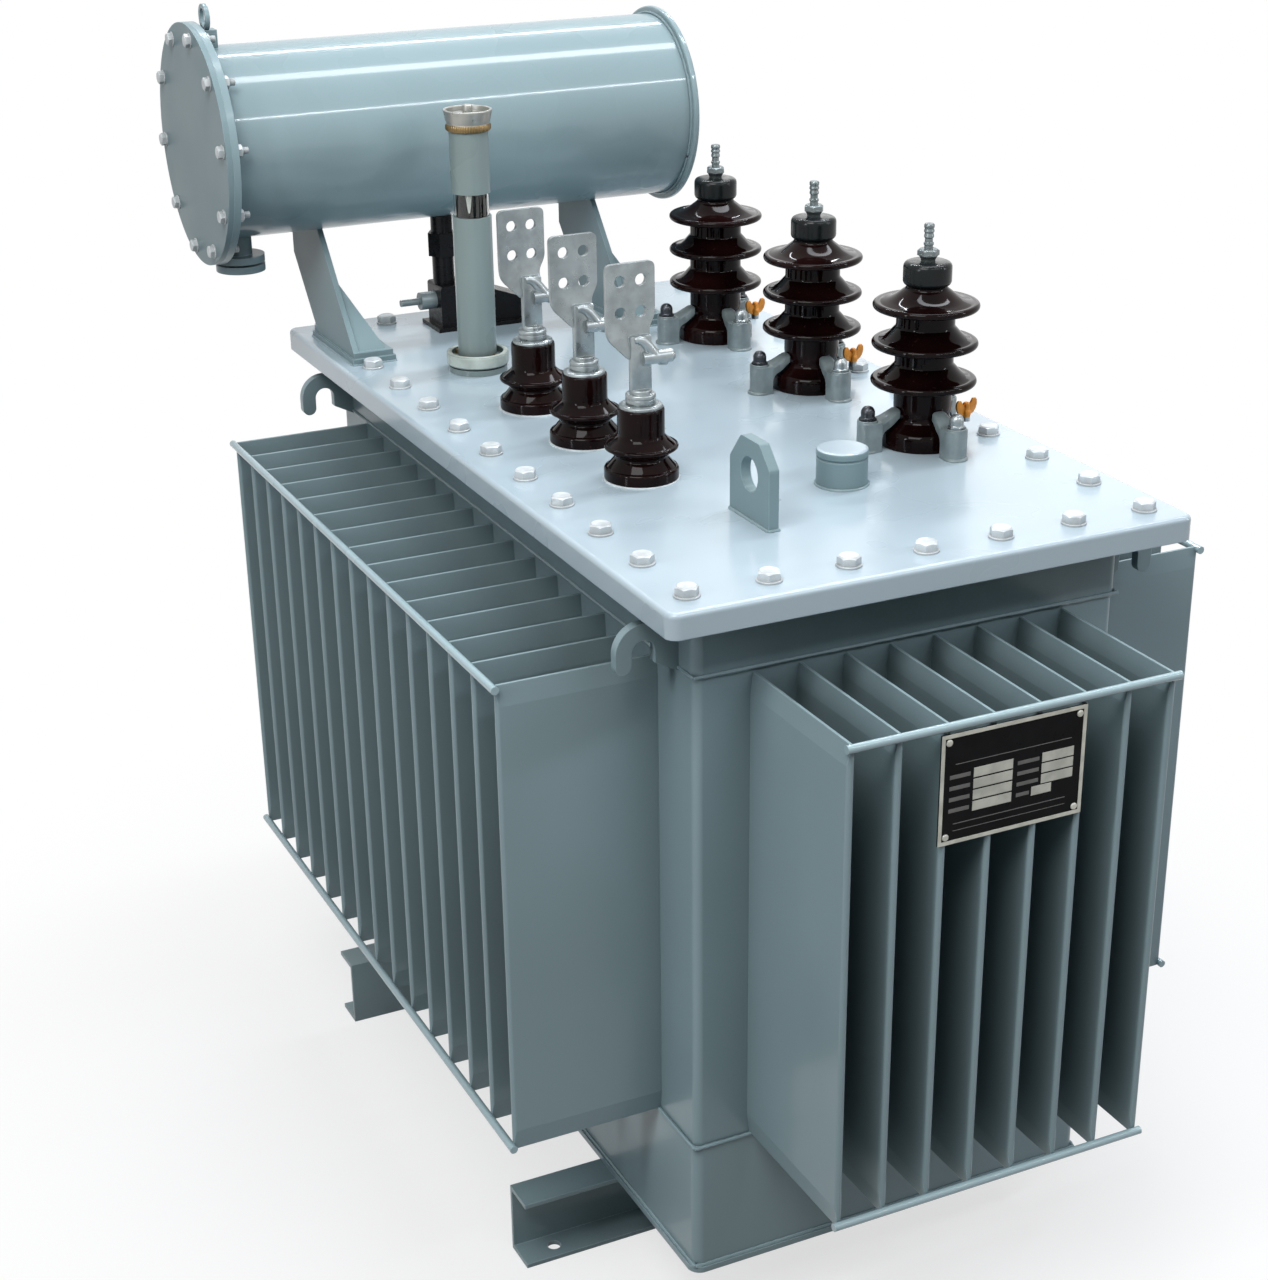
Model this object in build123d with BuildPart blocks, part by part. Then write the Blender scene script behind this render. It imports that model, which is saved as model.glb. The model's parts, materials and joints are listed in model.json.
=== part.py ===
# Oil-immersed power transformer: corrugated tank, bolted lid, conservator and bushings.
# Millimetres. +Z up, ground at Z = 0, origin midway between the four anchor holes.
# X runs across the tank, Y along it; the nameplate end faces -Y, the conservator stands at +Y.

import os
from math import sqrt

from build123d import *

os.makedirs("parts", exist_ok=True)

# Base channels
channel_length = 836
channel_height = 100
channel_flange = 50
channel_web = 5
channel_flange_thickness = 6
anchor_spacing_x = 740
anchor_spacing_y = 684
anchor_hole_radius = 9

# Tank
tank_width = 566
tank_length = 1172
tank_corner_radius = 12
base_plate_thickness = 8
base_plate_lip = 5
lower_wall_height = 175
fin_wall_height = 620
neck_height = 85
fin_wall_setback = 2

# Corrugated cooling fins
fin_height = 611
fin_thickness = 9
fin_seam_thickness = 3
fin_pinch_height = 26
side_fin_count = 15
side_fin_pitch = 69.6
side_fin_depth = 196
end_fin_count = 8
end_fin_pitch = 59
end_fin_depth = 213
fin_bottom_above_lower_wall = 2
rod_radius = 5
rod_beyond_fin = 2
rod_below_fin_top = 3.5
rod_overhang = 8
rod_clearance = 0.2

# Tank flange and lid
flange_thickness = 14
lid_clearance = 2
lid_width = 684
lid_length = 1296
lid_thickness = 8
lid_skirt = 30
lid_skirt_thickness = 6
lid_corner_radius = 14
lid_edge_radius = 6
lid_bolt_column_count = 7
lid_bolt_row_count = 12
lid_bolt_edge_x = 42
lid_bolt_edge_y = 44
lid_bolt_hole_radius = 9

# Lifting hooks on the tank and the lug on the lid
hook_thickness = 12
hook_reach = 77
hook_height = 58
hook_tip_width = 20
hook_throat_radius = 14
hook_root_height = 30
hook_below_flange = 25
hook_offset = 56
lug_length = 96
lug_height = 98
lug_near_chamfer = 25
lug_far_chamfer_length = 27
lug_far_chamfer_height = 32
lug_corner_radius = 7
lug_thickness = 13
lug_hole_radius = 21
lug_hole_height = 56
lug_from_left = 220
lug_from_front = 225

# Oil filler on the lid
filler_from_left = 376
filler_from_front = 291
filler_radius = 31.5
filler_height = 45
filler_groove_depth = 2
filler_groove_height = 3
filler_cap_height = 9
filler_weld = 4

# High-voltage bushings: foot, body, three sheds, dark cap, collar nut and stud
hv_from_right = 136
hv_y = 24
hv_pitch = 286
hv_foot_radius = 54
hv_foot_height = 20
hv_foot_edge = 4
hv_waist_radius = 33
hv_waist_height = 35
hv_body_radius = 37
hv_body_base = 44
hv_shed_radius = 67
hv_rim_radius = 4.5
hv_first_tip = 82
hv_shed_pitch = 48
hv_shed_rise = 22
hv_shed_sag = 2.5
hv_shed_undercut = 2
hv_cap_neck_radius = 26
hv_cap_neck_height = 4
hv_cap_radius = 30.5
hv_cap_height = 28
hv_cap_rounding = 9
hv_nut_foot_radius = 9.5
hv_nut_radius = 12.5
hv_nut_height = 16
hv_nut_flare = 6
hv_stud_radius = 6.5
hv_stud_length = 31

# Cast clamps that hold each high-voltage bushing down by its foot
hv_clamp_angles = (180, 270, 36)
hv_clamp_circle = 80
hv_clamp_depth = 26
hv_clamp_width = 30
hv_clamp_height = 40
hv_clamp_dish_radius = 11
hv_clamp_dish_depth = 5
hv_clamp_nose_radius = 43
hv_clamp_nose_width = 20
hv_clamp_nose_top = 49
hv_clamp_seat = 0.3
hv_clamp_arch_foot = 10
hv_clamp_arch_bulge = 2

# Low-voltage bushings and their flag terminals
lv_from_left = 170
lv_y = -61
lv_pitch = 165
lv_foot_radius = 46
lv_foot_height = 17
lv_waist_radius = 30
lv_waist_height = 31
lv_shed_radius = 44
lv_shed_under = 40
lv_shed_tip = 44
lv_top_radius = 29
lv_top_base = 53
lv_top = 90
lv_top_rounding = 2.5
lv_dish_radius = 26.5
lv_dish_height = 4
lv_nut_radius = 18
lv_nut_height = 15
lv_blade_width = 28
lv_blade_thickness = 10
lv_blade_top = 178
lv_pin_radius = 8.5
lv_pin_end = 42
lv_pin_height = 150
lv_web_height = 22
lv_flag_centre_x = -9
lv_flag_width = 64
lv_flag_bottom = 184
lv_flag_top = 264
lv_flag_tail = 150
lv_flag_shoulder = 197
lv_flag_neck = 183
lv_flag_tail_width = 30
lv_flag_thickness = 8
lv_flag_corner_radius = 8
lv_flag_hole_radius = 7
lv_flag_spacing_x = 27
lv_flag_spacing_z = 38

# Conservator
conservator_from_rear = 83
conservator_z = 1306
conservator_radius = 131.5
conservator_wall = 4
conservator_overhang = 121
conservator_from_right = 112
cover_radius = 165
cover_thickness = 8
cover_flange_thickness = 10
cover_bolt_count = 10
cover_bolt_circle = 149
cover_bolt_angle = 30
cover_bolt_hole_radius = 6.5
cap_ring_radius = 142
cap_ring_width = 9
cap_ring_edge = 3
eye_block_length = 26
eye_block_width = 22
eye_block_height = 23
eye_radius = 18
eye_wire = 6
eye_sink = 2
weld_gap = 0.2

# Conservator legs
leg_thickness = 8
leg_left_from_edge = 22
leg_right_from_edge = 232
leg_near_offset = 157
leg_far_offset = 7
leg_lean = 160
leg_rise = 187
leg_knee_offset = 92
leg_knee_height = 94
leg_foot_near = 3
leg_foot_far = 8
leg_foot_width = 58
leg_foot_thickness = 8
leg_pad_thickness = 9
leg_pad_margin = 3
leg_gusset_width = 42
leg_gusset_height = 110
leg_gusset_offset = 4

# Pipe, gas relay and valve between conservator and lid
pipe_before_conservator = 18
pipe_radius = 16
pipe_union_radius = 22
pipe_union_height = 34
pipe_union_above_relay = 42
relay_length = 135
relay_width = 56
relay_height = 60
relay_low_height = 30
relay_shoulder = 52
relay_edge = 4
relay_base_thickness = 6
relay_base_margin = 8
relay_before_pipe = 16
relay_past_leg_middle = 30
valve_radius = 13
valve_length = 24
valve_height = 36
lever_radius = 5
lever_length = 30

# Breather connection under the bolted end of the conservator
breather_from_flange = 35
breather_neck_radius = 18
breather_radius = 35
breather_thickness = 10
breather_gasket = 3
breather_drop = 26

# Oil level gauge
gauge_from_left = 171
gauge_from_rear = 340
gauge_foot_radius = 41
gauge_foot_height = 8
gauge_groove_radius = 37
gauge_cup_base = 11
gauge_cup_radius = 43
gauge_cup_top = 27
gauge_cup_wall = 7
gauge_cup_depth = 8
gauge_tube_radius = 27
gauge_tube_top = 332
gauge_window_bottom = 217
gauge_window_top = 249
gauge_glass_radius = 24.5
gauge_ring_radius = 29.5
gauge_ring_height = 10
gauge_cap_radius = 33
gauge_cap_flare = 3
gauge_cap_height = 18
gauge_cap_rim = 4
gauge_cap_depth = 8
gauge_knob_radius = 6
gauge_knob_height = 7

# Nameplate on the end fins
plate_width = 187
plate_height = 132
plate_thickness = 2
plate_fin_index = 2
plate_below_fin_top = 13

# Levels and planes that follow from the sizes above
tank_bottom = channel_height
lower_wall_base = tank_bottom + base_plate_thickness
fin_wall_base = lower_wall_base + lower_wall_height
neck_base = fin_wall_base + fin_wall_height
tank_top = neck_base + neck_height
flange_top = tank_top + flange_thickness
lid_top = flange_top + lid_thickness
fin_base = fin_wall_base + fin_bottom_above_lower_wall
fin_top = fin_base + fin_height
side_wall = tank_width / 2
end_wall = tank_length / 2
flange_width = lid_width - 2 * (lid_skirt_thickness + lid_clearance)
flange_length = lid_length - 2 * (lid_skirt_thickness + lid_clearance)
side_rod_x = side_wall + side_fin_depth + rod_beyond_fin
end_rod_y = end_wall + end_fin_depth + rod_beyond_fin
rod_levels = (fin_base + rod_below_fin_top, fin_top - rod_below_fin_top)
lid_bolt_spacing_x = lid_width - 2 * lid_bolt_edge_x
lid_bolt_spacing_y = lid_length - 2 * lid_bolt_edge_y
lid_left = -lid_width / 2
lid_right = lid_width / 2
lid_front = -lid_length / 2
lid_rear = lid_length / 2
lug_x = lid_left + lug_from_left
lug_y = lid_front + lug_from_front
filler_x = lid_left + filler_from_left
filler_y = lid_front + filler_from_front
hv_x = lid_right - hv_from_right
hv_top = hv_first_tip + 2 * hv_shed_pitch + hv_shed_rise
hv_cap_top = hv_top + hv_cap_neck_height + hv_cap_height
hv_nut_top = hv_cap_top + hv_nut_height
lv_x = lid_left + lv_from_left
lv_nut_base = lv_top + lv_dish_height
lv_blade_base = lv_nut_base + lv_nut_height
conservator_y = lid_rear - conservator_from_rear
conservator_left = lid_left - conservator_overhang
conservator_right = lid_right - conservator_from_right
leg_left_x = lid_left + leg_left_from_edge
leg_right_x = lid_right - leg_right_from_edge
relay_middle_x = (leg_left_x + leg_right_x) / 2 + relay_past_leg_middle
relay_left = relay_middle_x - relay_length / 2
pipe_x = relay_left + relay_before_pipe
pipe_y = conservator_y - pipe_before_conservator
relay_base = lid_top + relay_base_thickness
relay_top = relay_base + relay_height
gauge_x = lid_left + gauge_from_left
gauge_y = lid_rear - gauge_from_rear
gauge_cup_floor = gauge_cup_top - gauge_cup_depth
gauge_ring_top = gauge_tube_top + gauge_ring_height
gauge_top = gauge_ring_top + gauge_cap_height


def finish(part, name):
    part.label = name
    export_step(part, "parts/" + name + ".step")


def edge_positions(count, span):
    return [-span / 2 + index * span / (count - 1) for index in range(count)]


def lid_bolt_points():
    across = edge_positions(lid_bolt_column_count, lid_bolt_spacing_x)
    along = edge_positions(lid_bolt_row_count, lid_bolt_spacing_y)[1:-1]
    ends = [(x, side * lid_bolt_spacing_y / 2) for x in across for side in (-1, 1)]
    sides = [(side * lid_bolt_spacing_x / 2, y) for y in along for side in (-1, 1)]
    return ends + sides


# Base channels: the web faces the tank centre, the flanges point outward
channel_half = anchor_spacing_y / 2
flange_middle = (channel_web + channel_flange) / 2
for name, side in (("base_channel_front", -1), ("base_channel_rear", 1)):
    web_back = side * (channel_half - flange_middle)
    tip = web_back + side * channel_flange
    web_face = web_back + side * channel_web
    with BuildPart() as channel:
        with BuildSketch(Plane.YZ.offset(-channel_length / 2)):
            with BuildLine():
                Polyline(
                    (web_back, 0),
                    (tip, 0),
                    (tip, channel_flange_thickness),
                    (web_face, channel_flange_thickness),
                    (web_face, channel_height - channel_flange_thickness),
                    (tip, channel_height - channel_flange_thickness),
                    (tip, channel_height),
                    (web_back, channel_height),
                    close=True,
                )
            make_face()
        extrude(amount=channel_length)
        with Locations(
            (-anchor_spacing_x / 2, side * channel_half, channel_flange_thickness),
            (anchor_spacing_x / 2, side * channel_half, channel_flange_thickness),
        ):
            Hole(anchor_hole_radius, depth=channel_flange_thickness)
    finish(channel.part, name)

# Tank: base plate with a lip, plain lower box, set-back corrugated wall and plain neck
with BuildPart() as base_plate:
    with BuildSketch(Plane.XY.offset(tank_bottom)):
        RectangleRounded(
            tank_width + 2 * base_plate_lip,
            tank_length + 2 * base_plate_lip,
            tank_corner_radius + base_plate_lip,
        )
    extrude(amount=base_plate_thickness)
finish(base_plate.part, "tank_base_plate")

with BuildPart() as tank:
    with BuildSketch(Plane.XY.offset(lower_wall_base)):
        RectangleRounded(tank_width, tank_length, tank_corner_radius)
    extrude(amount=lower_wall_height)
    with BuildSketch(Plane.XY.offset(fin_wall_base)):
        RectangleRounded(
            tank_width - 2 * fin_wall_setback,
            tank_length - 2 * fin_wall_setback,
            tank_corner_radius - fin_wall_setback,
        )
    extrude(amount=fin_wall_height)
    with BuildSketch(Plane.XY.offset(neck_base)):
        RectangleRounded(tank_width, tank_length, tank_corner_radius)
    extrude(amount=neck_height)
finish(tank.part, "tank_body")

with BuildPart() as tank_flange:
    with BuildSketch(Plane.XY.offset(tank_top)):
        RectangleRounded(flange_width, flange_length, lid_corner_radius - lid_skirt_thickness)
        with Locations(*lid_bolt_points()):
            Circle(lid_bolt_hole_radius, mode=Mode.SUBTRACT)
    extrude(amount=flange_thickness)
finish(tank_flange.part, "tank_flange")

# Lid: a plate folded down into a skirt all round, drilled for the rim bolts
with BuildPart() as lid:
    with BuildSketch(Plane.XY.offset(lid_top - lid_skirt)):
        RectangleRounded(lid_width, lid_length, lid_corner_radius)
    extrude(amount=lid_skirt)
    fillet(lid.faces().sort_by(Axis.Z)[-1].edges(), radius=lid_edge_radius)
    with BuildSketch(Plane.XY.offset(lid_top - lid_skirt)):
        RectangleRounded(
            lid_width - 2 * lid_skirt_thickness,
            lid_length - 2 * lid_skirt_thickness,
            lid_corner_radius - lid_skirt_thickness,
        )
    extrude(amount=lid_skirt - lid_thickness, mode=Mode.SUBTRACT)
    with BuildSketch(Plane.XY.offset(flange_top)):
        with Locations(*lid_bolt_points()):
            Circle(lid_bolt_hole_radius)
    extrude(amount=lid_thickness, mode=Mode.SUBTRACT)
finish(lid.part, "lid")


# Fins: folded sheet panels, pinched to a flat seam at top and bottom, rounded at the outer fold
def fin_panel(depth):
    wall = -fin_wall_setback
    with BuildPart() as panel:
        with BuildSketch(Plane.YZ.offset(wall)):
            with BuildLine():
                Polyline(
                    (-fin_seam_thickness / 2, fin_base),
                    (fin_seam_thickness / 2, fin_base),
                    (fin_thickness / 2, fin_base + fin_pinch_height),
                    (fin_thickness / 2, fin_top - fin_pinch_height),
                    (fin_seam_thickness / 2, fin_top),
                    (-fin_seam_thickness / 2, fin_top),
                    (-fin_thickness / 2, fin_top - fin_pinch_height),
                    (-fin_thickness / 2, fin_base + fin_pinch_height),
                    close=True,
                )
            make_face()
        extrude(amount=depth - wall)
        with BuildSketch(Plane.XY.offset(fin_base)):
            with BuildLine():
                straight = depth - fin_thickness / 2
                Polyline(
                    (straight, -fin_thickness / 2),
                    (wall, -fin_thickness / 2),
                    (wall, fin_thickness / 2),
                    (straight, fin_thickness / 2),
                )
                ThreePointArc(
                    (straight, fin_thickness / 2), (depth, 0), (straight, -fin_thickness / 2)
                )
            make_face()
        extrude(amount=fin_height, mode=Mode.INTERSECT)
        for level in rod_levels:
            with BuildSketch(Plane.XZ.offset(-fin_thickness)):
                with Locations((depth + rod_beyond_fin, level)):
                    Circle(rod_radius + rod_clearance)
            extrude(amount=2 * fin_thickness, mode=Mode.SUBTRACT)
    return panel.part


side_panel = fin_panel(side_fin_depth)
end_panel = fin_panel(end_fin_depth)
side_fin_span = (side_fin_count - 1) * side_fin_pitch
end_fin_span = (end_fin_count - 1) * end_fin_pitch
side_fin_places = edge_positions(side_fin_count, side_fin_span)
end_fin_places = edge_positions(end_fin_count, end_fin_span)

with BuildPart() as fins_left:
    with Locations(*[Location((-side_wall, y, 0), (0, 0, 180)) for y in side_fin_places]):
        add(side_panel)
finish(fins_left.part, "fins_left")

with BuildPart() as fins_right:
    with Locations(*[Location((side_wall, y, 0)) for y in side_fin_places]):
        add(side_panel)
finish(fins_right.part, "fins_right")

with BuildPart() as fins_front:
    with Locations(*[Location((x, -end_wall, 0), (0, 0, -90)) for x in end_fin_places]):
        add(end_panel)
finish(fins_front.part, "fins_front")

with BuildPart() as fins_rear:
    with Locations(*[Location((x, end_wall, 0), (0, 0, 90)) for x in end_fin_places]):
        add(end_panel)
finish(fins_rear.part, "fins_rear")

# Tie rods along the outer corners of the fins
side_rod_length = side_fin_span + 2 * rod_overhang
end_rod_length = end_fin_span + 2 * rod_overhang
with BuildPart() as side_rods:
    for side in (-1, 1):
        with BuildSketch(Plane.XZ.offset(-side_rod_length / 2)):
            with Locations(*[(side * side_rod_x, level) for level in rod_levels]):
                Circle(rod_radius)
        extrude(amount=side_rod_length)
finish(side_rods.part, "fin_rods_sides")

with BuildPart() as end_rods:
    for side in (-1, 1):
        with BuildSketch(Plane.YZ.offset(-end_rod_length / 2)):
            with Locations(*[(side * end_rod_y, level) for level in rod_levels]):
                Circle(rod_radius)
        extrude(amount=end_rod_length)
finish(end_rods.part, "fin_rods_ends")

# Four lifting hooks: arched plates welded to the neck beyond the outermost side fins
hook_top = tank_top - hook_below_flange
hook_low = hook_top - hook_height
hook_place = side_fin_span / 2 + hook_offset
hook_outer = hook_tip_width + hook_throat_radius
hook_spring = hook_top - hook_outer
hook_arch = side_wall + hook_reach - hook_outer
with BuildPart() as hooks:
    for side in (-1, 1):
        tip_outer = side * (side_wall + hook_reach)
        tip_inner = tip_outer - side * hook_tip_width
        tip_middle = (tip_outer + tip_inner) / 2
        arch = side * hook_arch
        throat_near = arch - side * hook_throat_radius
        for end in (-1, 1):
            with BuildSketch(Plane.XZ.offset(-end * hook_place - hook_thickness / 2)):
                with BuildLine():
                    Polyline(
                        (throat_near, hook_spring),
                        (throat_near, hook_spring - hook_root_height / 2),
                        (side * side_wall, hook_spring - hook_root_height),
                        (side * side_wall, hook_top),
                        (arch, hook_top),
                    )
                    RadiusArc((arch, hook_top), (tip_outer, hook_spring), side * hook_outer)
                    Line((tip_outer, hook_spring), (tip_outer, hook_low + hook_tip_width / 2))
                    ThreePointArc(
                        (tip_outer, hook_low + hook_tip_width / 2),
                        (tip_middle, hook_low),
                        (tip_inner, hook_low + hook_tip_width / 2),
                    )
                    Line((tip_inner, hook_low + hook_tip_width / 2), (tip_inner, hook_spring))
                    ThreePointArc(
                        (tip_inner, hook_spring),
                        (arch, hook_spring + hook_throat_radius),
                        (throat_near, hook_spring),
                    )
                make_face()
            extrude(amount=hook_thickness)
finish(hooks.part, "tank_lifting_hooks")

# Lifting lug on the lid: a drilled plate with one corner cut and the other sloped
lug_near = lug_y - lug_length / 2
lug_far = lug_y + lug_length / 2
lug_top = lid_top + lug_height
with BuildPart() as lug:
    with BuildSketch(Plane.YZ.offset(lug_x - lug_thickness / 2)) as lug_outline:
        with BuildLine():
            Polyline(
                (lug_near, lid_top),
                (lug_far, lid_top),
                (lug_far, lug_top - lug_far_chamfer_height),
                (lug_far - lug_far_chamfer_length, lug_top),
                (lug_near + lug_near_chamfer, lug_top),
                (lug_near, lug_top - lug_near_chamfer),
                close=True,
            )
        make_face()
        fillet(lug_outline.vertices().sort_by(Axis.Y)[2:], radius=lug_corner_radius)
        with Locations((lug_y, lid_top + lug_hole_height)):
            Circle(lug_hole_radius, mode=Mode.SUBTRACT)
    extrude(amount=lug_thickness)
finish(lug.part, "lid_lifting_lug")


def turned(name, x, y, base, profile):
    # Revolves a list of (radius, height above base) corners about a vertical axis
    with BuildPart() as body:
        with BuildSketch(Plane.XZ):
            with BuildLine():
                Polyline(*profile, close=True)
            make_face()
        revolve(axis=Axis.Z)
    finish(body.part.moved(Location((x, y, base))), name)


# Oil filler: a short neck with a screwed cap
filler_cap_base = filler_height - filler_cap_height
turned(
    "oil_filler",
    filler_x,
    filler_y,
    lid_top,
    [
        (0, 0),
        (filler_radius + filler_weld, 0),
        (filler_radius, filler_weld),
        (filler_radius, filler_cap_base - filler_groove_height),
        (filler_radius - filler_groove_depth, filler_cap_base - filler_groove_height),
        (filler_radius - filler_groove_depth, filler_cap_base),
        (filler_radius, filler_cap_base),
        (filler_radius, filler_height),
        (0, filler_height),
    ],
)


# High-voltage bushings
def hv_porcelain():
    with BuildPart() as body:
        with BuildSketch(Plane.XZ):
            with BuildLine():
                inner = hv_body_radius
                level = hv_body_base
                Polyline(
                    (0, 0),
                    (hv_foot_radius, 0),
                    (hv_foot_radius, hv_foot_height - hv_foot_edge),
                    (hv_foot_radius - hv_foot_edge, hv_foot_height),
                    (hv_waist_radius, hv_waist_height),
                    (inner, level),
                )
                rim = hv_shed_radius - hv_rim_radius
                for tip in [hv_first_tip + index * hv_shed_pitch for index in range(3)]:
                    Polyline(
                        (inner, level),
                        (inner, tip - hv_shed_undercut),
                        (rim, tip - hv_rim_radius),
                    )
                    ThreePointArc(
                        (rim, tip - hv_rim_radius),
                        (hv_shed_radius, tip),
                        (rim, tip + hv_rim_radius),
                    )
                    level = tip + hv_shed_rise
                    inner = hv_cap_neck_radius if level == hv_top else hv_body_radius
                    ThreePointArc(
                        (rim, tip + hv_rim_radius),
                        ((rim + inner) / 2, (tip + hv_rim_radius + level) / 2 - hv_shed_sag),
                        (inner, level),
                    )
                Polyline((inner, level), (0, level), (0, 0))
            make_face()
        revolve(axis=Axis.Z)
    return body.part


# One clamp along +X: a post with a dished top and an arm that ends on the foot's cone
def hv_clamp():
    post_outer = hv_clamp_circle + hv_clamp_depth / 2
    post_inner = hv_clamp_circle - hv_clamp_depth / 2
    dish_outer = hv_clamp_circle + hv_clamp_dish_radius
    dish_inner = hv_clamp_circle - hv_clamp_dish_radius
    shoulder = hv_foot_radius - hv_foot_edge
    cone_slope = (hv_waist_height - hv_foot_height) / (shoulder - hv_waist_radius)
    nose_low = hv_foot_height + (shoulder - hv_clamp_nose_radius) * cone_slope + 2 * hv_clamp_seat
    over_foot = hv_foot_height + hv_clamp_seat
    arch_middle = (hv_foot_radius + post_inner) / 2
    arch_level = (over_foot + hv_clamp_arch_foot) / 2
    with BuildPart() as clamp:
        with BuildSketch(Plane.XZ):
            with BuildLine():
                Polyline(
                    (dish_inner, hv_clamp_height),
                    (hv_clamp_nose_radius, hv_clamp_nose_top),
                    (hv_clamp_nose_radius, nose_low),
                    (shoulder + hv_clamp_seat, over_foot),
                    (hv_foot_radius, over_foot),
                )
                ThreePointArc(
                    (hv_foot_radius, over_foot),
                    (arch_middle + hv_clamp_arch_bulge, arch_level + hv_clamp_arch_bulge),
                    (post_inner, hv_clamp_arch_foot),
                )
                Polyline(
                    (post_inner, hv_clamp_arch_foot),
                    (post_inner, 0),
                    (post_outer, 0),
                    (post_outer, hv_clamp_height),
                    (dish_outer, hv_clamp_height),
                )
                ThreePointArc(
                    (dish_outer, hv_clamp_height),
                    (hv_clamp_circle, hv_clamp_height - hv_clamp_dish_depth),
                    (dish_inner, hv_clamp_height),
                )
            make_face()
        extrude(amount=hv_clamp_width / 2, both=True)
        with BuildSketch():
            with BuildLine():
                half_nose = hv_clamp_nose_width / 2
                half_post = hv_clamp_width / 2
                Polyline(
                    (hv_clamp_circle, -half_post),
                    (post_inner, -half_post),
                    (hv_clamp_nose_radius, -half_nose),
                    (hv_clamp_nose_radius, half_nose),
                    (post_inner, half_post),
                    (hv_clamp_circle, half_post),
                )
                ThreePointArc(
                    (hv_clamp_circle, half_post),
                    (post_outer, 0),
                    (hv_clamp_circle, -half_post),
                )
            make_face()
        extrude(amount=hv_clamp_nose_top, mode=Mode.INTERSECT)
    return clamp.part


def hv_base():
    clamp_solid = hv_clamp()
    with BuildPart() as base:
        with Locations(*[Location((0, 0, 0), (0, 0, angle)) for angle in hv_clamp_angles]):
            add(clamp_solid)
    return base.part


def hv_cap():
    with BuildPart() as cap:
        with BuildSketch(Plane.XZ) as cap_outline:
            with BuildLine():
                Polyline(
                    (0, hv_top + hv_cap_neck_height),
                    (hv_cap_radius, hv_top + hv_cap_neck_height),
                    (hv_cap_radius, hv_cap_top),
                    (0, hv_cap_top),
                    close=True,
                )
            make_face()
            fillet(cap_outline.vertices().group_by(Axis.X)[-1], radius=hv_cap_rounding)
            with Locations((0, hv_top)):
                Rectangle(
                    hv_cap_neck_radius,
                    hv_cap_neck_height + hv_cap_rounding,
                    align=(Align.MIN, Align.MIN),
                )
        revolve(axis=Axis.Z)
    return cap.part


def hv_terminal():
    with BuildPart() as terminal:
        with BuildSketch(Plane.XZ):
            with BuildLine():
                Polyline(
                    (0, hv_cap_top),
                    (hv_nut_foot_radius, hv_cap_top),
                    (hv_nut_radius, hv_cap_top + hv_nut_flare),
                    (hv_nut_radius, hv_nut_top),
                    (hv_stud_radius, hv_nut_top),
                    (hv_stud_radius, hv_nut_top + hv_stud_length),
                    (0, hv_nut_top + hv_stud_length),
                    close=True,
                )
            make_face()
        revolve(axis=Axis.Z)
    return terminal.part


hv_places = [Location((hv_x, hv_y + row * hv_pitch, lid_top)) for row in (-1, 0, 1)]
hv_base_solid = hv_base()
hv_porcelain_solid = hv_porcelain()
hv_terminal_solid = hv_terminal()
hv_cap_solid = hv_cap()
for number, place in enumerate(hv_places, start=1):
    finish(hv_base_solid.moved(place), "hv_base_" + str(number))
    finish(hv_porcelain_solid.moved(place), "hv_porcelain_" + str(number))
    finish(hv_terminal_solid.moved(place), "hv_terminal_" + str(number))

with BuildPart() as hv_caps:
    with Locations(*hv_places):
        add(hv_cap_solid)
finish(hv_caps.part, "hv_caps")


# Low-voltage bushings
def lv_porcelain():
    with BuildPart() as body:
        with BuildSketch(Plane.XZ):
            with BuildLine():
                Polyline(
                    (0, 0),
                    (lv_foot_radius, 0),
                    (lv_foot_radius, lv_foot_height),
                    (lv_waist_radius, lv_waist_height),
                    (lv_shed_radius, lv_shed_under),
                    (lv_shed_radius, lv_shed_tip),
                    (lv_top_radius, lv_top_base),
                    (lv_top_radius, lv_top - lv_top_rounding),
                    (lv_top_radius - lv_top_rounding, lv_top),
                    (0, lv_top),
                    close=True,
                )
            make_face()
        revolve(axis=Axis.Z)
    return body.part


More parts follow.
